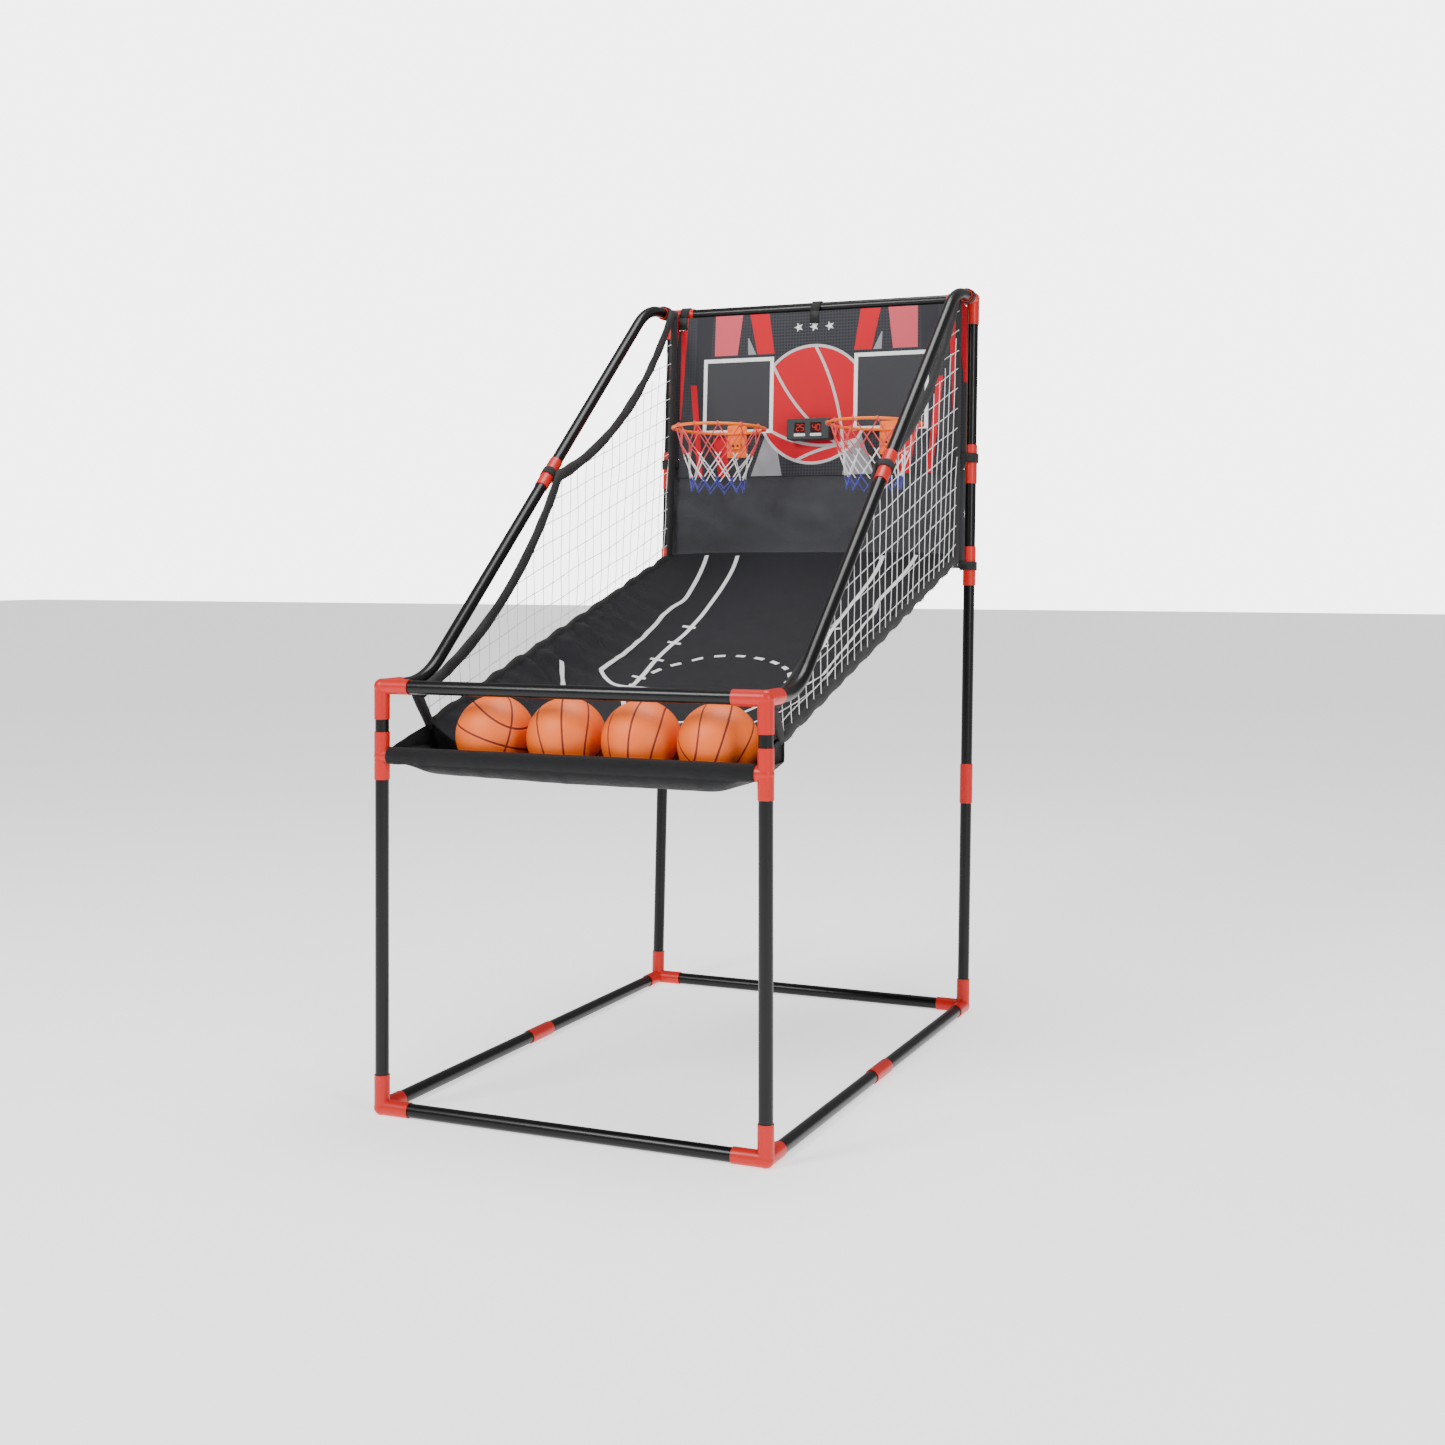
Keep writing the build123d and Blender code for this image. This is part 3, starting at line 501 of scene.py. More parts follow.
dress(red_plastic, "base_corners_front", "base_corners_rear", "base_side_sleeves", "tray_tees",
      "front_top_corners", "rear_post_sleeves", "rear_top_corners", "side_arm_sleeves")
dress(black_paint, "base_front_tube", "base_rear_tube", "base_side_tubes_left",
      "base_side_tubes_right", "front_leg_tubes_left", "front_leg_tubes_right", "front_top_rail",
      "tray_rail", "rear_post_tubes_left", "rear_post_tubes_right", "rear_top_rail",
      "side_arm_lower_tubes", "side_arm_upper_tubes")
dress(board_print, "backboard")
dress(orange_paint, "hoop_left", "hoop_right", "hoop_back_plates", "hoop_screws", "hoop_sensors")
dress(steel, "hoop_nuts", "case_screws", "speaker", "batteries")
dress(display_body, "hoop_sensor_lenses", "score_displays")
dress(case_plastic, "scoreboard_case", "battery_case", "battery_door")
dress(window_pane, "score_windows")
dress(label_card, "scoreboard_labels")
dress(button_plastic, "button_left", "button_right")
dress(moulded("circuit board", (0.01, 0.10, 0.03), 0.4), "circuit_board")

# ------------------------------------------------------------------ the ramp's shape
RAMP_FRONT, RAMP_FRONT_Z = 112.0, 533.0
RAMP_REAR_Z = 890.0
RAMP_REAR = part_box("ramp")[1][1] / MM - FRONT_Y
RAMP_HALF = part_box("ramp")[1][0] / MM
RAMP_SAG = 44.0
RAMP_DROP = 26.0
HEM_FRONT_Z, HEM_REAR_Z = 592.0, 868.0
HEM_RISE = 16.0
STRING_GAP = 38.0
NET_X = RAMP_HALF + 1.1
TAPE_X = middle("net_webbing_right").x / MM


def net_rear(z):
    return DEPTH + z * sin(RAKE) / cos(RAKE) - 20.0


NET_BACK = net_rear(HEM_REAR_Z)


def hem_z(y):
    return HEM_FRONT_Z + (HEM_REAR_Z - HEM_FRONT_Z) * (y - RAMP_FRONT) / (NET_BACK - RAMP_FRONT)


def floor_z(y):
    t = (y - RAMP_FRONT) / (RAMP_REAR - RAMP_FRONT)
    rest = RAMP_FRONT_Z + (RAMP_REAR_Z - RAMP_FRONT_Z) * t - RAMP_SAG * 4 * t * (1 - t)
    return rest - RAMP_DROP * (1 - exp(-max(0.0, RAMP_REAR - y) / 26.0)) * t


def puff(x, y, z, scale, seed=0.0):
    """Smooth, repeatable unevenness from -1 to 1."""
    return noise.noise(Vector((x / scale + seed, y / scale, z / scale)))


def ramp_z(x, y):
    """Height of the ramp's cloth: flat in the middle, and curving up to the hems at the sides."""
    edge = min(1.0, abs(x) / RAMP_HALF)
    low, high = floor_z(y), hem_z(y) + HEM_RISE
    t = (y - RAMP_FRONT) / (RAMP_REAR - RAMP_FRONT)
    calm = sin(pi * min(1.0, max(0.0, t) * 1.02))
    wall = min(1.0, max(0.0, (edge - 0.62) / 0.25)) * min(1.0, (1.0 - edge) / 0.05)
    gather = y + 40 * puff(x * 0.4, y, 0, 150, 2.0) + (abs(x) - 250) * 0.25
    folds = (sin(gather / 7.4) * 0.65 + sin(gather / 12.3 + 1.0) * 0.75) * 5.0
    slack = puff(x, y, 0, 120, 3.1) * 5.0 * (1 - edge) * (0.4 + t) + puff(x, y, 0, 55, 7.7) * 2.0
    return low + (high - low) * edge ** 3.4 + folds * wall * (1.15 - t) * calm + slack * calm


def wall_fold(x, y):
    """How far the side walls' gathers stand inwards."""
    edge = min(1.0, abs(x) / RAMP_HALF)
    wall = min(1.0, max(0.0, (edge - 0.66) / 0.22)) * min(1.0, (1.0 - edge) / 0.04)
    along_wall = y + 34 * puff(x * 0.3, y, 0, 120, 12.0) - (abs(x) - 250) * 0.35
    gather = sin(along_wall / 6.2) * 0.6 + sin(along_wall / 10.3 + 1.0) + 1.2
    fade = min(1.0, max(0.0, (y - RAMP_FRONT) / 60)) * min(1.0, max(0.0, (900 - y) / 250))
    return gather * 6.4 * wall * fade


def on_ramp(x, y, proud=0.0, inset=0.0, rise=0.0):
    """A place on the ramp's cloth, or this much above it."""
    way = 1 if x > 0 else -1
    edge = min(1.0, abs(x) / RAMP_HALF)
    inwards = 1.3 + inset + wall_fold(x, y) + proud * edge ** 2
    return at_side(x - way * inwards, y, ramp_z(x, y) + proud + rise)


def ramp_place(u, v):
    """u runs across the cloth, which is closer together up the side walls, and v up the ramp."""
    s = u * 2 - 1
    way = 1 if s > 0 else -1
    x = RAMP_HALF * (1 - (1 - abs(s)) ** 1.6) * way
    y = RAMP_FRONT - 3 + v ** 0.92 * (RAMP_REAR + 1.5 - RAMP_FRONT)
    edge = abs(x) / RAMP_HALF
    y = min(y, RAMP_REAR - 1.5 - edge ** 6 * (RAMP_REAR - NET_BACK - 1))
    scallop = (edge ** 30) * (sin(pi * y / STRING_GAP) ** 2 * -4.0)
    pull = edge ** 10 * 1.1 * sin(y / 9.0 + sin(y / 31.0))
    return on_ramp(x, y, 0.0, pull * s * s, scallop)


ramp = keep("ramp_cloth", sheet_mesh(170, 260, ramp_place, (0.67, 1.01)), ramp_cloth,
            nodes=("ramp",), thickness=CLOTH_THICKNESS * MM)

# ------------------------------------------------------------------ skirt
SKIRT_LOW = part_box("skirt")[0][2] / MM - BASE_Z - RAMP_DROP - 6
SKIRT_TOP = BOARD_BOTTOM + 6.0


def skirt_place(u, v):
    x = (u - 0.5) * 648.0
    low = SKIRT_LOW / cos(RAKE)
    h = low + v * (SKIRT_TOP - low)
    away = sin(pi * v)
    pull = puff(x * 0.5 + h * 0.8, h * 0.35, 0, 34, 6) * 3.6 + puff(x, h * 1.6, 0, 75, 5) * 5.0
    loose = min(1.0, max(0.0, (v - 0.24) / 0.25))
    tucked = min(1.0, (1.0 - v) / 0.15)
    return at_board(x, h, 12.0 + 3.0 * tucked + 3.0 * loose * away + pull * loose * away ** 0.6)


skirt = keep("skirt_cloth", sheet_mesh(120, 48, skirt_place, (0.65, 0.198)), skirt_cloth,
             nodes=("skirt",), thickness=CLOTH_THICKNESS * MM)

# ------------------------------------------------------------------ ball tray
TRAY_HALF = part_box("ball_tray")[1][0] / MM
SLEEVE_R = SOCKET + 1.3
TRAY_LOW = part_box("ball_tray")[0][2] / MM - BASE_Z + 1.0
TRAY_REAR = RAMP_FRONT - 0.8
TRAY_FLOOR_Y, TRAY_LEVEL_HALF, TRAY_END_RISE = 24, 232.0, 40.0
ROUND_RAIL, DOWN_FRONT, LEVEL_END = 0.42, 0.62, 0.86


def tray_path(t, x):
    """Round the rail, down its front, under the balls and up to the ramp, t from 0 to 1."""
    end = max(0.0, (abs(x) - TRAY_LEVEL_HALF) / (TRAY_HALF - TRAY_LEVEL_HALF))
    low = TRAY_LOW + TRAY_END_RISE * end * end + 6.0 * max(0.0, -x / TRAY_HALF)
    if t < ROUND_RAIL:
        turn = radians(-35 + 270 * t / ROUND_RAIL)
        return SLEEVE_R * cos(turn), RAIL_Z + SLEEVE_R * sin(turn)
    if t < DOWN_FRONT:
        s = (t - ROUND_RAIL) / (DOWN_FRONT - ROUND_RAIL)
        start_y = SLEEVE_R * cos(radians(235))
        start_z = RAIL_Z + SLEEVE_R * sin(radians(235))
        bow = 4.0 * sin(pi * s)
        return (start_y + (TRAY_FLOOR_Y - start_y) * s ** 1.3 - bow * (1 - s),
                start_z + (low - start_z) * (1 - (1 - s) ** 1.6))
    s = (t - DOWN_FRONT) / (1 - DOWN_FRONT)
    rise = max(0.0, s - LEVEL_END) / (1 - LEVEL_END)
    top = ramp_z(x * RAMP_HALF / TRAY_HALF, RAMP_FRONT + 1) + 3.5 * (x / TRAY_HALF) ** 2 - 0.5
    return (TRAY_FLOOR_Y + (TRAY_REAR - TRAY_FLOOR_Y) * min(1, s / LEVEL_END),
            low + (top - low) * rise)


def tray_place(u, v):
    x = (u - 0.5) * 2 * (TRAY_HALF - 0.8)
    y, z = tray_path(v, x)
    front = max(0.0, sin(pi * min(1, max(0, (v - 0.28) / 0.36))))
    pleat = sin(x / 7.5 + 2.5 * puff(x, 0, 0, 70)) * 1.5 + puff(x, y, z, 42, 9) * 3.6
    gather = 0.45 + max(0, (abs(x) - 190) / 80)
    return at_side(x, y - abs(pleat) * front * gather * 0.5, z + pleat * front * 0.35)


tray = keep("tray_cloth", sheet_mesh(170, 64, tray_place, (0.632, 0.27)), tray_cloth,
            nodes=("ball_tray",), thickness=CLOTH_THICKNESS * MM)


def end_wall(side):
    def place(u, v):
        y = 4 + u * (RAMP_FRONT + 2 - 4)
        low = TRAY_LOW + 30 + 11 * u
        high = RAIL_Z + 12 + (HEM_FRONT_Z + HEM_RISE - 4 - RAIL_Z - 12) * u ** 0.8
        z = low + v * (high - low)
        bow = 2.2 * sin(pi * u) * sin(pi * v) + 1.5 * puff(y, z, side * 30, 24)
        return at_side(side * (TRAY_HALF - 1.2 - 4.4 * u - max(0.0, bow)), y, z)
    return sheet_mesh(26, 18, place, (0.11, 0.062))


for side, word in zip(SIDES, ("left", "right")):
    keep(f"tray_end_{word}", end_wall(side), tray_cloth,
         thickness=CLOTH_THICKNESS * MM)

# ------------------------------------------------------------------ court lines on the ramp
LINE = 8.5


def along(points, step=7.0):
    """Places every few mm along a smooth line through the given points."""
    out = []
    padded = [points[0], *points, points[-1]]
    for a, b, c, d in zip(padded, padded[1:], padded[2:], padded[3:]):
        count = max(2, ceil(hypot(c[0] - b[0], c[1] - b[1]) / step))
        for n in range(count):
            t = n / count
            out.append(tuple(0.5 * (2 * b[k] + (c[k] - a[k]) * t
                                    + (2 * a[k] - 5 * b[k] + 4 * c[k] - d[k]) * t * t
                                    + (3 * b[k] - a[k] - 3 * c[k] + d[k]) * t ** 3)
                             for k in (0, 1)))
    out.append(points[-1])
    return out


def lay_line(bm, points, width=LINE, straight=False):
    route = along(points) if not straight else [
        (points[0][0] + (points[1][0] - points[0][0]) * n / 4,
         points[0][1] + (points[1][1] - points[0][1]) * n / 4) for n in range(5)]
    last = len(route) - 1

    def place(u, v):
        n = round(u * last)
        before, after = route[max(0, n - 1)], route[min(last, n + 1)]
        way = Vector((after[0] - before[0], after[1] - before[1])).normalized()
        x = route[n][0] - way.y * (v - 0.5) * width
        y = route[n][1] + way.x * (v - 0.5) * width
        return on_ramp(x, y, 1.6)

    sheet_mesh(last, 2, place, (last * 0.007, width * MM), bm=bm)


LANE, BOX, CIRCLE, FOUL_Y = 151.0, 216.0, 150.0, 527.0
court = bmesh.new()
for s in SIDES:
    lay_line(court, [(s * (BOX + 14), 1046), (s * (BOX - 4), 935), (s * (BOX - 10), 880),
                     (s * (BOX + 1), 822), (s * (BOX - 4), 700), (s * (BOX + 4), 540)])
    lay_line(court, [(s * (LANE + 9), 1046), (s * LANE, 911), (s * (LANE - 4), 786),
                     (s * (LANE + 3), 676), (s * (LANE - 5), FOUL_Y)])
    lay_line(court, [(s * (BOX + 4), 541), (s * (BOX - 24), 521), (s * (BOX - 46), 516),
                     (s * 120, 524), (s * 60, 529), (0, 529)])
    for y in (785, 717, 640, 563):
        lay_line(court, [(s * (LANE - 13), y), (s * (LANE + 14), y)], 7.5, True)
    lay_line(court, [(s * CIRCLE * cos(radians(a)), FOUL_Y + 5 + CIRCLE * sin(radians(a)))
                     for a in range(0, -91, -10)])
    lay_line(court, [(s * 333 * cos(radians(a)), 660 + 333 * sin(radians(a)))
                     for a in range(-34, -91, -8)])
for n in range(11):
    start = 5 + n * 16
    lay_line(court, [(CIRCLE * cos(radians(a)), FOUL_Y + 5 + CIRCLE * sin(radians(a)))
                     for a in (start, start + 4, start + 8)])
court_lines = keep("court_lines", court, court_paint)

# ------------------------------------------------------------------ side nets
ARM_TOP = POST_LENGTH * cos(RAKE)
ARM_BEND = 125.0
FRONT_TOP_Z = middle("front_top_rail").z / MM - BASE_Z
arm_low = Vector((ARM_BEND, FRONT_TOP_Z))
arm_high = Vector((DEPTH + POST_LENGTH * sin(RAKE) - ARM_BEND, ARM_TOP))
arm_mid = (arm_low + arm_high) / 2
arm_way = (arm_high - arm_low).normalized()
EDGE_SLACK = 52
NET_COLUMNS, NET_START, ROW_STEP, TAPE_DOWN = 29, 118, 19.0, 9.0
hook_front = Vector((58, 655))
hook_middle = arm_mid + Vector((0, 5))
hook_rear = Vector((net_rear(ARM_TOP) - 30, ARM_TOP + 5))


def hang(a, b, t, depth):
    """A slack edge between two hooks, t from 0 to 1."""
    down = Vector((b.y - a.y, a.x - b.x)).normalized()
    return a.lerp(b, t) + down * depth * 4 * t * (1 - t)


def top_edge(y):
    """Height of the net's upper edge."""
    if y < hook_middle.x:
        a, b = hook_front, hook_middle
    else:
        a, b = hook_middle, hook_rear
    low, high = 0.0, 1.0
    for _ in range(24):
        t = (low + high) / 2
        low, high = (t, high) if hang(a, b, t, EDGE_SLACK).x < y else (low, t)
    return hang(a, b, (low + high) / 2, EDGE_SLACK).y


def net_x(side, y, z):
    return side * (NET_X + 0.9 * puff(side * 40, y, z, 150, 2.0))


def net_strings(side):
    routes, knots = [], []
    for n in range(NET_COLUMNS + 1):
        y = NET_START + (NET_BACK - 8 - NET_START) * n / NET_COLUMNS
        low = hem_z(y) - 4
        lean = 0.03 * (y - 500)
        high = top_edge(y + lean * 0.2) - 6 if y < hook_rear.x else ARM_TOP
        if high - low < 20:
            continue
        steps = max(3, int((high - low) / 30))
        route = []
        for k in range(steps + 1):
            z = low + (high - low) * k / steps
            sway = puff(side * 9, y, z, 90, n) * 7 + puff(side * 9, y, z, 35, n) * 2
            yy = min(y + sway + lean * (z - low) / 900 * 8, net_rear(z) - 4)
            route.append(at_side(net_x(side, yy, z), yy, z))
        routes.append((route, False))
    row = 0
    while True:
        row += 1
        rise = row * STRING_GAP
        route = []
        y = 100.0
        while y < 1090:
            z = hem_z(y) + rise + puff(side * 5, y, rise, 140, row) * 5
            if z < top_edge(min(y, hook_rear.x)) - 4 and y < net_rear(z) - 3 and z < ARM_TOP:
                route.append(at_side(net_x(side, y, z), y, z))
            elif route and y > 600:
                break
            y += ROW_STEP
        if len(route) < 3:
            break
        routes.append((route, False))
        knots += route[::2]
    return routes, knots


def edge_tape(side):
    """The bound edge of the net: slack over the hooks, down the rear and along the ramp's hem."""
    route = [hang(hook_front, hook_middle, n / 22, EDGE_SLACK) for n in range(23)]
    route += [hang(hook_middle, hook_rear, n / 24, EDGE_SLACK) for n in range(1, 25)]
    corner = Vector((net_rear(ARM_TOP) - 2, ARM_TOP + 4))
    foot = Vector((net_rear(HEM_REAR_Z) - 2, HEM_REAR_Z - 4))
    route += [hook_rear.lerp(corner, n / 3) for n in range(1, 4)]
    route += [corner.lerp(foot, n / 26) for n in range(1, 27)]
    front = Vector((RAMP_FRONT - 6, HEM_FRONT_Z + 2))
    for n in range(1, 75):
        y = foot.x + (front.x - foot.x) * n / 74
        route.append(Vector((y, hem_z(y) + 1 + 2.0 * sin(pi * y / STRING_GAP))))
    route += [front.lerp(hook_front, n / 3) for n in range(1, 4)]
    route = route[:-1]
    last = len(route)

    def place(u, v):
        n = round(u * last) % last
        before, here, after = route[n - 1], route[n], route[(n + 1) % last]
        way = (after - before).normalized()
        inward = Vector((way.y, -way.x))
        lumps = puff(here.x, here.y, side * 50, 30, 1.0)
        half = 11.0 + 2.6 * lumps + 1.2 * puff(here.x, here.y, 3, 13, 4.0)
        thick = 5.4 + 1.2 * puff(here.x, here.y, side * 7, 45, 6.0)
        lap = 2 * pi * v + 1.2 * puff(here.x, here.y, side * 9, 60, 8.0)
        spot = here + inward * (TAPE_DOWN + half * cos(lap))
        return at_side(side * (TAPE_X - 4.4 + thick * sin(lap)), *spot)

    return sheet_mesh(last, 12, place, (last * 0.019, 0.045), close_u=True)


for side, word in zip(SIDES, ("left", "right")):
    routes, knots = net_strings(side)
    bm = cords(f"side_net_{word}", routes, SIDE_STRING * MM)
    add_knots(bm, knots, SIDE_KNOT * MM)
    keep(f"side_net_strings_{word}", bm, white_string, nodes=(f"side_net_{word}",))
    keep(f"net_edge_tape_{word}", edge_tape(side), tape, nodes=(f"net_webbing_{word}",))

# ------------------------------------------------------------------ ties and board straps
def belt_line(radius, low, high, count=72):
    """A tight loop round a circle at the origin and, if given, a box section."""
    corners = [] if low is None else [(x, y) for x in (low[0], high[0]) for y in (low[1], high[1])]
    line = []
    for n in range(count):
        angle = 2 * pi * n / count
        way = (cos(angle), sin(angle))
        best = (radius * way[0], radius * way[1])
        for corner in corners:
            if corner[0] * way[0] + corner[1] * way[1] > best[0] * way[0] + best[1] * way[1] + 1e-6:
                best = corner
        line.append(best)
    return line


def belt(centre, x_way, y_way, radius, low=None, high=None, width=19.0, layers=1, lump=0.5):
    """A strap drawn round a tube, with its overlap as a second turn."""
    line = belt_line(radius + 0.9, low, high)
    z_way = x_way.cross(y_way)
    count = len(line)
    bm = bmesh.new()
    for layer in range(layers):
        reach = 1.0 if layer == 0 else 0.42

        def place(u, v):
            n = round(u * count * reach)
            x, y = line[n % count]
            swell = 1 + layer * 1.3 / max(1.0, hypot(x, y))
            shift = lump * puff(n * 3, v * 20, layer, 17, radius)
            skew = (layer * 1.2) * (v - 0.5)
            return (centre + x_way * (x * swell) * MM + y_way * (y * swell) * MM
                    + z_way * ((v - 0.5) * width * (1 - 0.08 * layer) + shift + skew) * MM)

        sheet_mesh(int(count * reach), 4, place, (0.09 * reach, width * MM),
                   close_u=layer == 0, bm=bm)
    return bm


strap_pieces = []
along_x = Vector((1, 0, 0))
for n, x in enumerate((-296.0, 0.0, 296.0)):
    radius = SOCKET if x else TUBE
    strap_pieces.append((f"board_strap_top_{n + 1}", belt(
        at_board(x, POST_LENGTH, 0), BOARD_OUT, POST_UP, radius,
        (BOARD_BACK - 0.8, -34.0), (BOARD_FRONT + 0.8, -9.3), layers=2)))
for side, word in zip(SIDES, ("left", "right")):
    strap_pieces.append((f"board_strap_{word}", belt(
        at_board(side * POST_X, 1075.0, 0), BOARD_OUT, along_x * side, SOCKET,
        (BOARD_BACK - 0.8, -29.0), (BOARD_FRONT + 0.8, -4.2), layers=2)))
for name, bm in strap_pieces:
    keep(name, bm, strap_tape, nodes=("backboard_straps",),
         thickness=STRAP_THICKNESS * MM)

arm_dir = Vector((0, arm_way.x, arm_way.y))
across_arm = arm_dir.cross(along_x)
up = Vector((0, 0, 1))
for side, word in zip(SIDES, ("left", "right")):
    spots = {
        "middle": (at_side(side * POST_X, *arm_mid), along_x, across_arm, None, None),
        "top": (at_side(side * POST_X, DEPTH + POST_LENGTH * sin(RAKE) - 40, ARM_TOP),
                along_x, up, None, None),
        "rear": (at_board(side * POST_X, 861.0, 0), BOARD_OUT, along_x * side,
                 (0, -14.0), (18.2, -10.8)),
    }
    for place_name, (centre, x_way, y_way, low, high) in spots.items():
        keep(f"net_tie_{place_name}_{word}",
             belt(centre, x_way, y_way, SOCKET, low, high, width=17.0, layers=2, lump=1.2),
             strap_tape, nodes=("net_ties",), thickness=STRAP_THICKNESS * MM)

# ------------------------------------------------------------------ hoop nets
LOOPS = 12
NET_LEVELS = ((0.0, 0.995), (-34.0, 0.90), (-62.0, 0.775), (-86.0, 0.685), (-108.0, 0.64),
              (-127.0, 0.62))
HOOP_IN = HOOP_R - 3.0 - 1.6


def hoop_place(side, turn, drop, radius):
    """Round a hoop by an angle, down from its rim and out from its middle, in mm."""
    return at_board(side * HOOP_X + radius * cos(turn), HOOP_H + drop,
                    HOOP_OUT + radius * sin(turn))


def hoop_net(side, word):
    routes, knots = [], []
    step = 2 * pi / LOOPS

    def knot(level, n):
        drop, share = NET_LEVELS[level]
        wander = puff(n * 31, level * 17, side * 20, 10, 5)
        turn = step * (n + 0.5 * (level % 2) + 0.10 * wander * (level > 0)) + 0.13
        sag = wander * 2.5 * (level > 0)
        return turn, drop + sag, HOOP_IN * share

    for level in range(len(NET_LEVELS) - 1):
        for n in range(LOOPS):
            turn, drop, radius = knot(level, n)
            knots.append(hoop_place(side, turn, drop - (1.5 if level == 0 else 0), radius))
            for other in (0, 1) if level % 2 else (-1, 0):
                turn2, drop2, radius2 = knot(level + 1, n + other)
                bow = (turn + turn2) / 2
                routes.append(([hoop_place(side, turn, drop, radius),
                                hoop_place(side, bow + 0.012 * (other - 0.5),
                                           (drop + drop2) / 2 - 2, (radius + radius2) / 2 - 1.0),
                                hoop_place(side, turn2, drop2, radius2)], False))
    for n in range(LOOPS):
        turn, drop, radius = knot(len(NET_LEVELS) - 1, n)
        knots.append(hoop_place(side, turn, drop, radius))
        ring = []
        for k in range(8):
            lap = 2 * pi * k / 8
            ring.append(hoop_place(side, step * n + 0.13 + 0.016 * sin(lap),
                                   4.6 * sin(lap), HOOP_R + 4.6 * cos(lap)))
        routes.append((ring, True))
    bm = cords(f"hoop_net_{word}", routes, HOOP_STRING * MM)
    add_knots(bm, knots, HOOP_KNOT * MM)
    keep(f"hoop_net_cords_{word}", bm, hoop_string, nodes=(f"hoop_net_{word}",))


for side, word in zip(SIDES, ("left", "right")):
    hoop_net(side, word)

# ------------------------------------------------------------------ balls
BALL_R = (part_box("ball_1")[1][0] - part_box("ball_1")[0][0]) / 2
SEAM_WAIST, SEAM_FLARE, SEAM_HALF = 0.46, 0.30, 0.024
TURNS = tuple(tuple(radians(a) for a in turn) for turn in (
    (74, 12, -44), (6, 42, -64), (-6, 50, -88), (-24, 38, -80)))


def ball(n, turn):
    centre = middle(f"ball_{n}")
    spin = Matrix.LocRotScale(None, Euler(turn), None).to_3x3()
    bm = bmesh.new()
    bmesh.ops.create_uvsphere(bm, u_segments=180, v_segments=110, radius=BALL_R)
    for v in bm.verts:
        p = v.co / BALL_R
        seam = min(abs(p.y), abs(p.z), abs(abs(p.y) - SEAM_WAIST - p.z * p.z * SEAM_FLARE))
        groove = max(0.0, 1 - (seam / SEAM_HALF) ** 2)
        v.co *= 1 - 0.010 * groove - 0.0015
        v.co = spin @ v.co + centre
    keep(f"ball_skin_{n}", bm, ball_finish(f"ball {n}", centre, turn), body=f"ball_{n}_body",
         nodes=(f"ball_{n}",))


for n, turn in enumerate(TURNS, start=1):
    ball(n, turn)

# ------------------------------------------------------------------ scoreboard figures and stars
SEGMENTS = {"a": (0, 1, 0), "b": (1, 0.5, 1), "c": (1, -0.5, 1), "d": (0, -1, 0),
            "e": (-1, -0.5, 1), "f": (-1, 0.5, 1), "g": (0, 0, 0)}
FIGURES = {0: "abcdef", 2: "abged", 4: "fgbc", 5: "afgcd"}
PANE_OUT = BOARD_FRONT + 28 - 1.8


def figure(bm, x, value):
    wide, tall, stroke = 6.4, 12.0, 1.5
    for mark in FIGURES[value]:
        sx, sy, upright = SEGMENTS[mark]
        size = (stroke, tall / 2 - stroke * 0.6) if upright else (wide - stroke * 0.6, stroke)
        made = bmesh.ops.create_cube(bm, size=1.0)["verts"]
        for v in made:
            v.co = at_board(x + sx * wide / 2 + v.co.x * size[0],
                            SCORE_H + 3 + sy * tall / 2 + v.co.y * size[1],
                            PANE_OUT - 0.2 + v.co.z * 0.2)


lit = bmesh.new()
for x, value in ((-22.2, 2), (-12.8, 5), (12.8, 4), (22.2, 0)):
    figure(lit, x, value)
keep("score_figures", lit, digit_light, smooth=False)

stars = bmesh.new()
for x in (-34.0, 0.0, 34.0):
    made = bmesh.ops.create_circle(stars, cap_ends=True, segments=10, radius=1.0)["verts"]
    for n, v in enumerate(made):
        reach = 10.0 if n % 2 == 0 else 4.2
        angle = atan2(v.co.y, v.co.x) + pi / 2
        v.co = at_board(x + reach * cos(angle), 1352 + reach * sin(angle), BOARD_FRONT + 0.3)
keep("board_stars", stars, label_card, smooth=False, thickness=0.2 * MM)

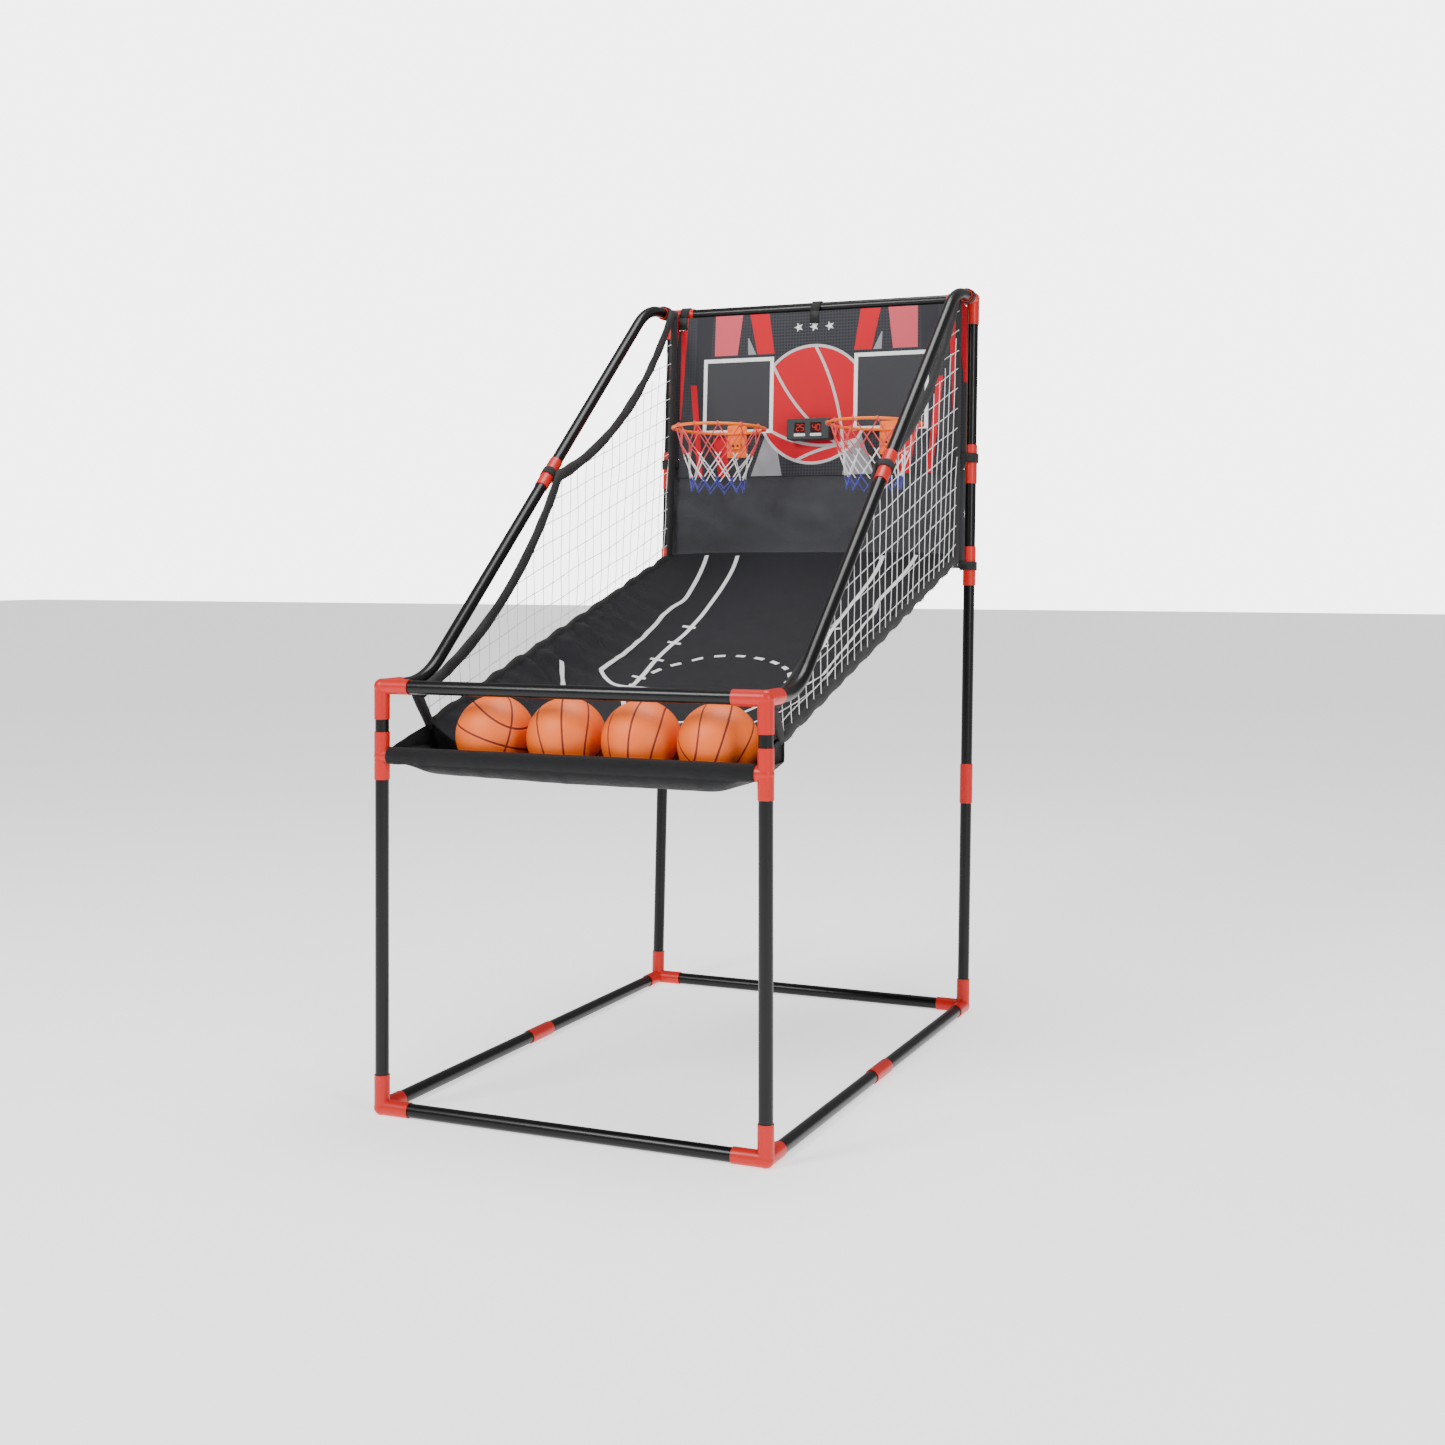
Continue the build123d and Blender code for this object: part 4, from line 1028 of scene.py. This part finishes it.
# ------------------------------------------------------------------ floor, light and camera
floor_bm = bmesh.new()
bmesh.ops.create_grid(floor_bm, x_segments=2, y_segments=2, size=30.0)
floor_mesh = bpy.data.meshes.new("floor")
floor_bm.to_mesh(floor_mesh)
floor_bm.free()
floor = bpy.data.objects.new("floor", floor_mesh)
bpy.context.collection.objects.link(floor)
floor_finish = Finish("pale floor", (0.93, 0.93, 0.93), 0.7)
floor_finish.set("Emission Color", (1, 1, 1, 1))
floor_finish.set("Emission Strength", 1.0)
floor_mesh.materials.append(floor_finish.material)

world = bpy.data.worlds.new("studio")
world.use_nodes = True
tree = world.node_tree
backdrop = tree.nodes["Background"]
backdrop.inputs["Color"].default_value = (1, 1, 1, 1)
seen = tree.nodes.new("ShaderNodeLightPath")
level = tree.nodes.new("ShaderNodeMapRange")
level.inputs["To Min"].default_value = 0.34
level.inputs["To Max"].default_value = 5.0
tree.links.new(seen.outputs["Is Camera Ray"], level.inputs["Value"])
tree.links.new(level.outputs[0], backdrop.inputs["Strength"])
bpy.context.scene.world = world


def soft_box(name, place, target, size, power):
    light = bpy.data.lights.new(name, "AREA")
    light.shape = "RECTANGLE"
    light.size, light.size_y = size
    light.energy = power
    lamp = bpy.data.objects.new(name, light)
    lamp.location = place
    lamp.rotation_euler = (Vector(target) - Vector(place)).to_track_quat("-Z", "Y").to_euler()
    bpy.context.collection.objects.link(lamp)


soft_box("key", (-1.6, -3.4, 3.2), (0, 0, 0.8), (1.0, 1.6), 150)
soft_box("fill", (3.4, -2.2, 2.0), (0, 0, 0.8), (0.9, 2.0), 75)
soft_box("top", (0.2, 0.4, 4.0), (0, 0, 0.6), (1.8, 1.8), 110)

camera_data = bpy.data.cameras.new("camera")
camera_data.sensor_width = 36.0
camera_data.lens = 46.55
camera_data.shift_y = -0.1118
camera = bpy.data.objects.new("camera", camera_data)
camera.location = at_side(1352.6, -2516.9, 870.0)
camera.rotation_euler = (pi / 2, 0, radians(23.44))
bpy.context.collection.objects.link(camera)
bpy.context.scene.camera = camera
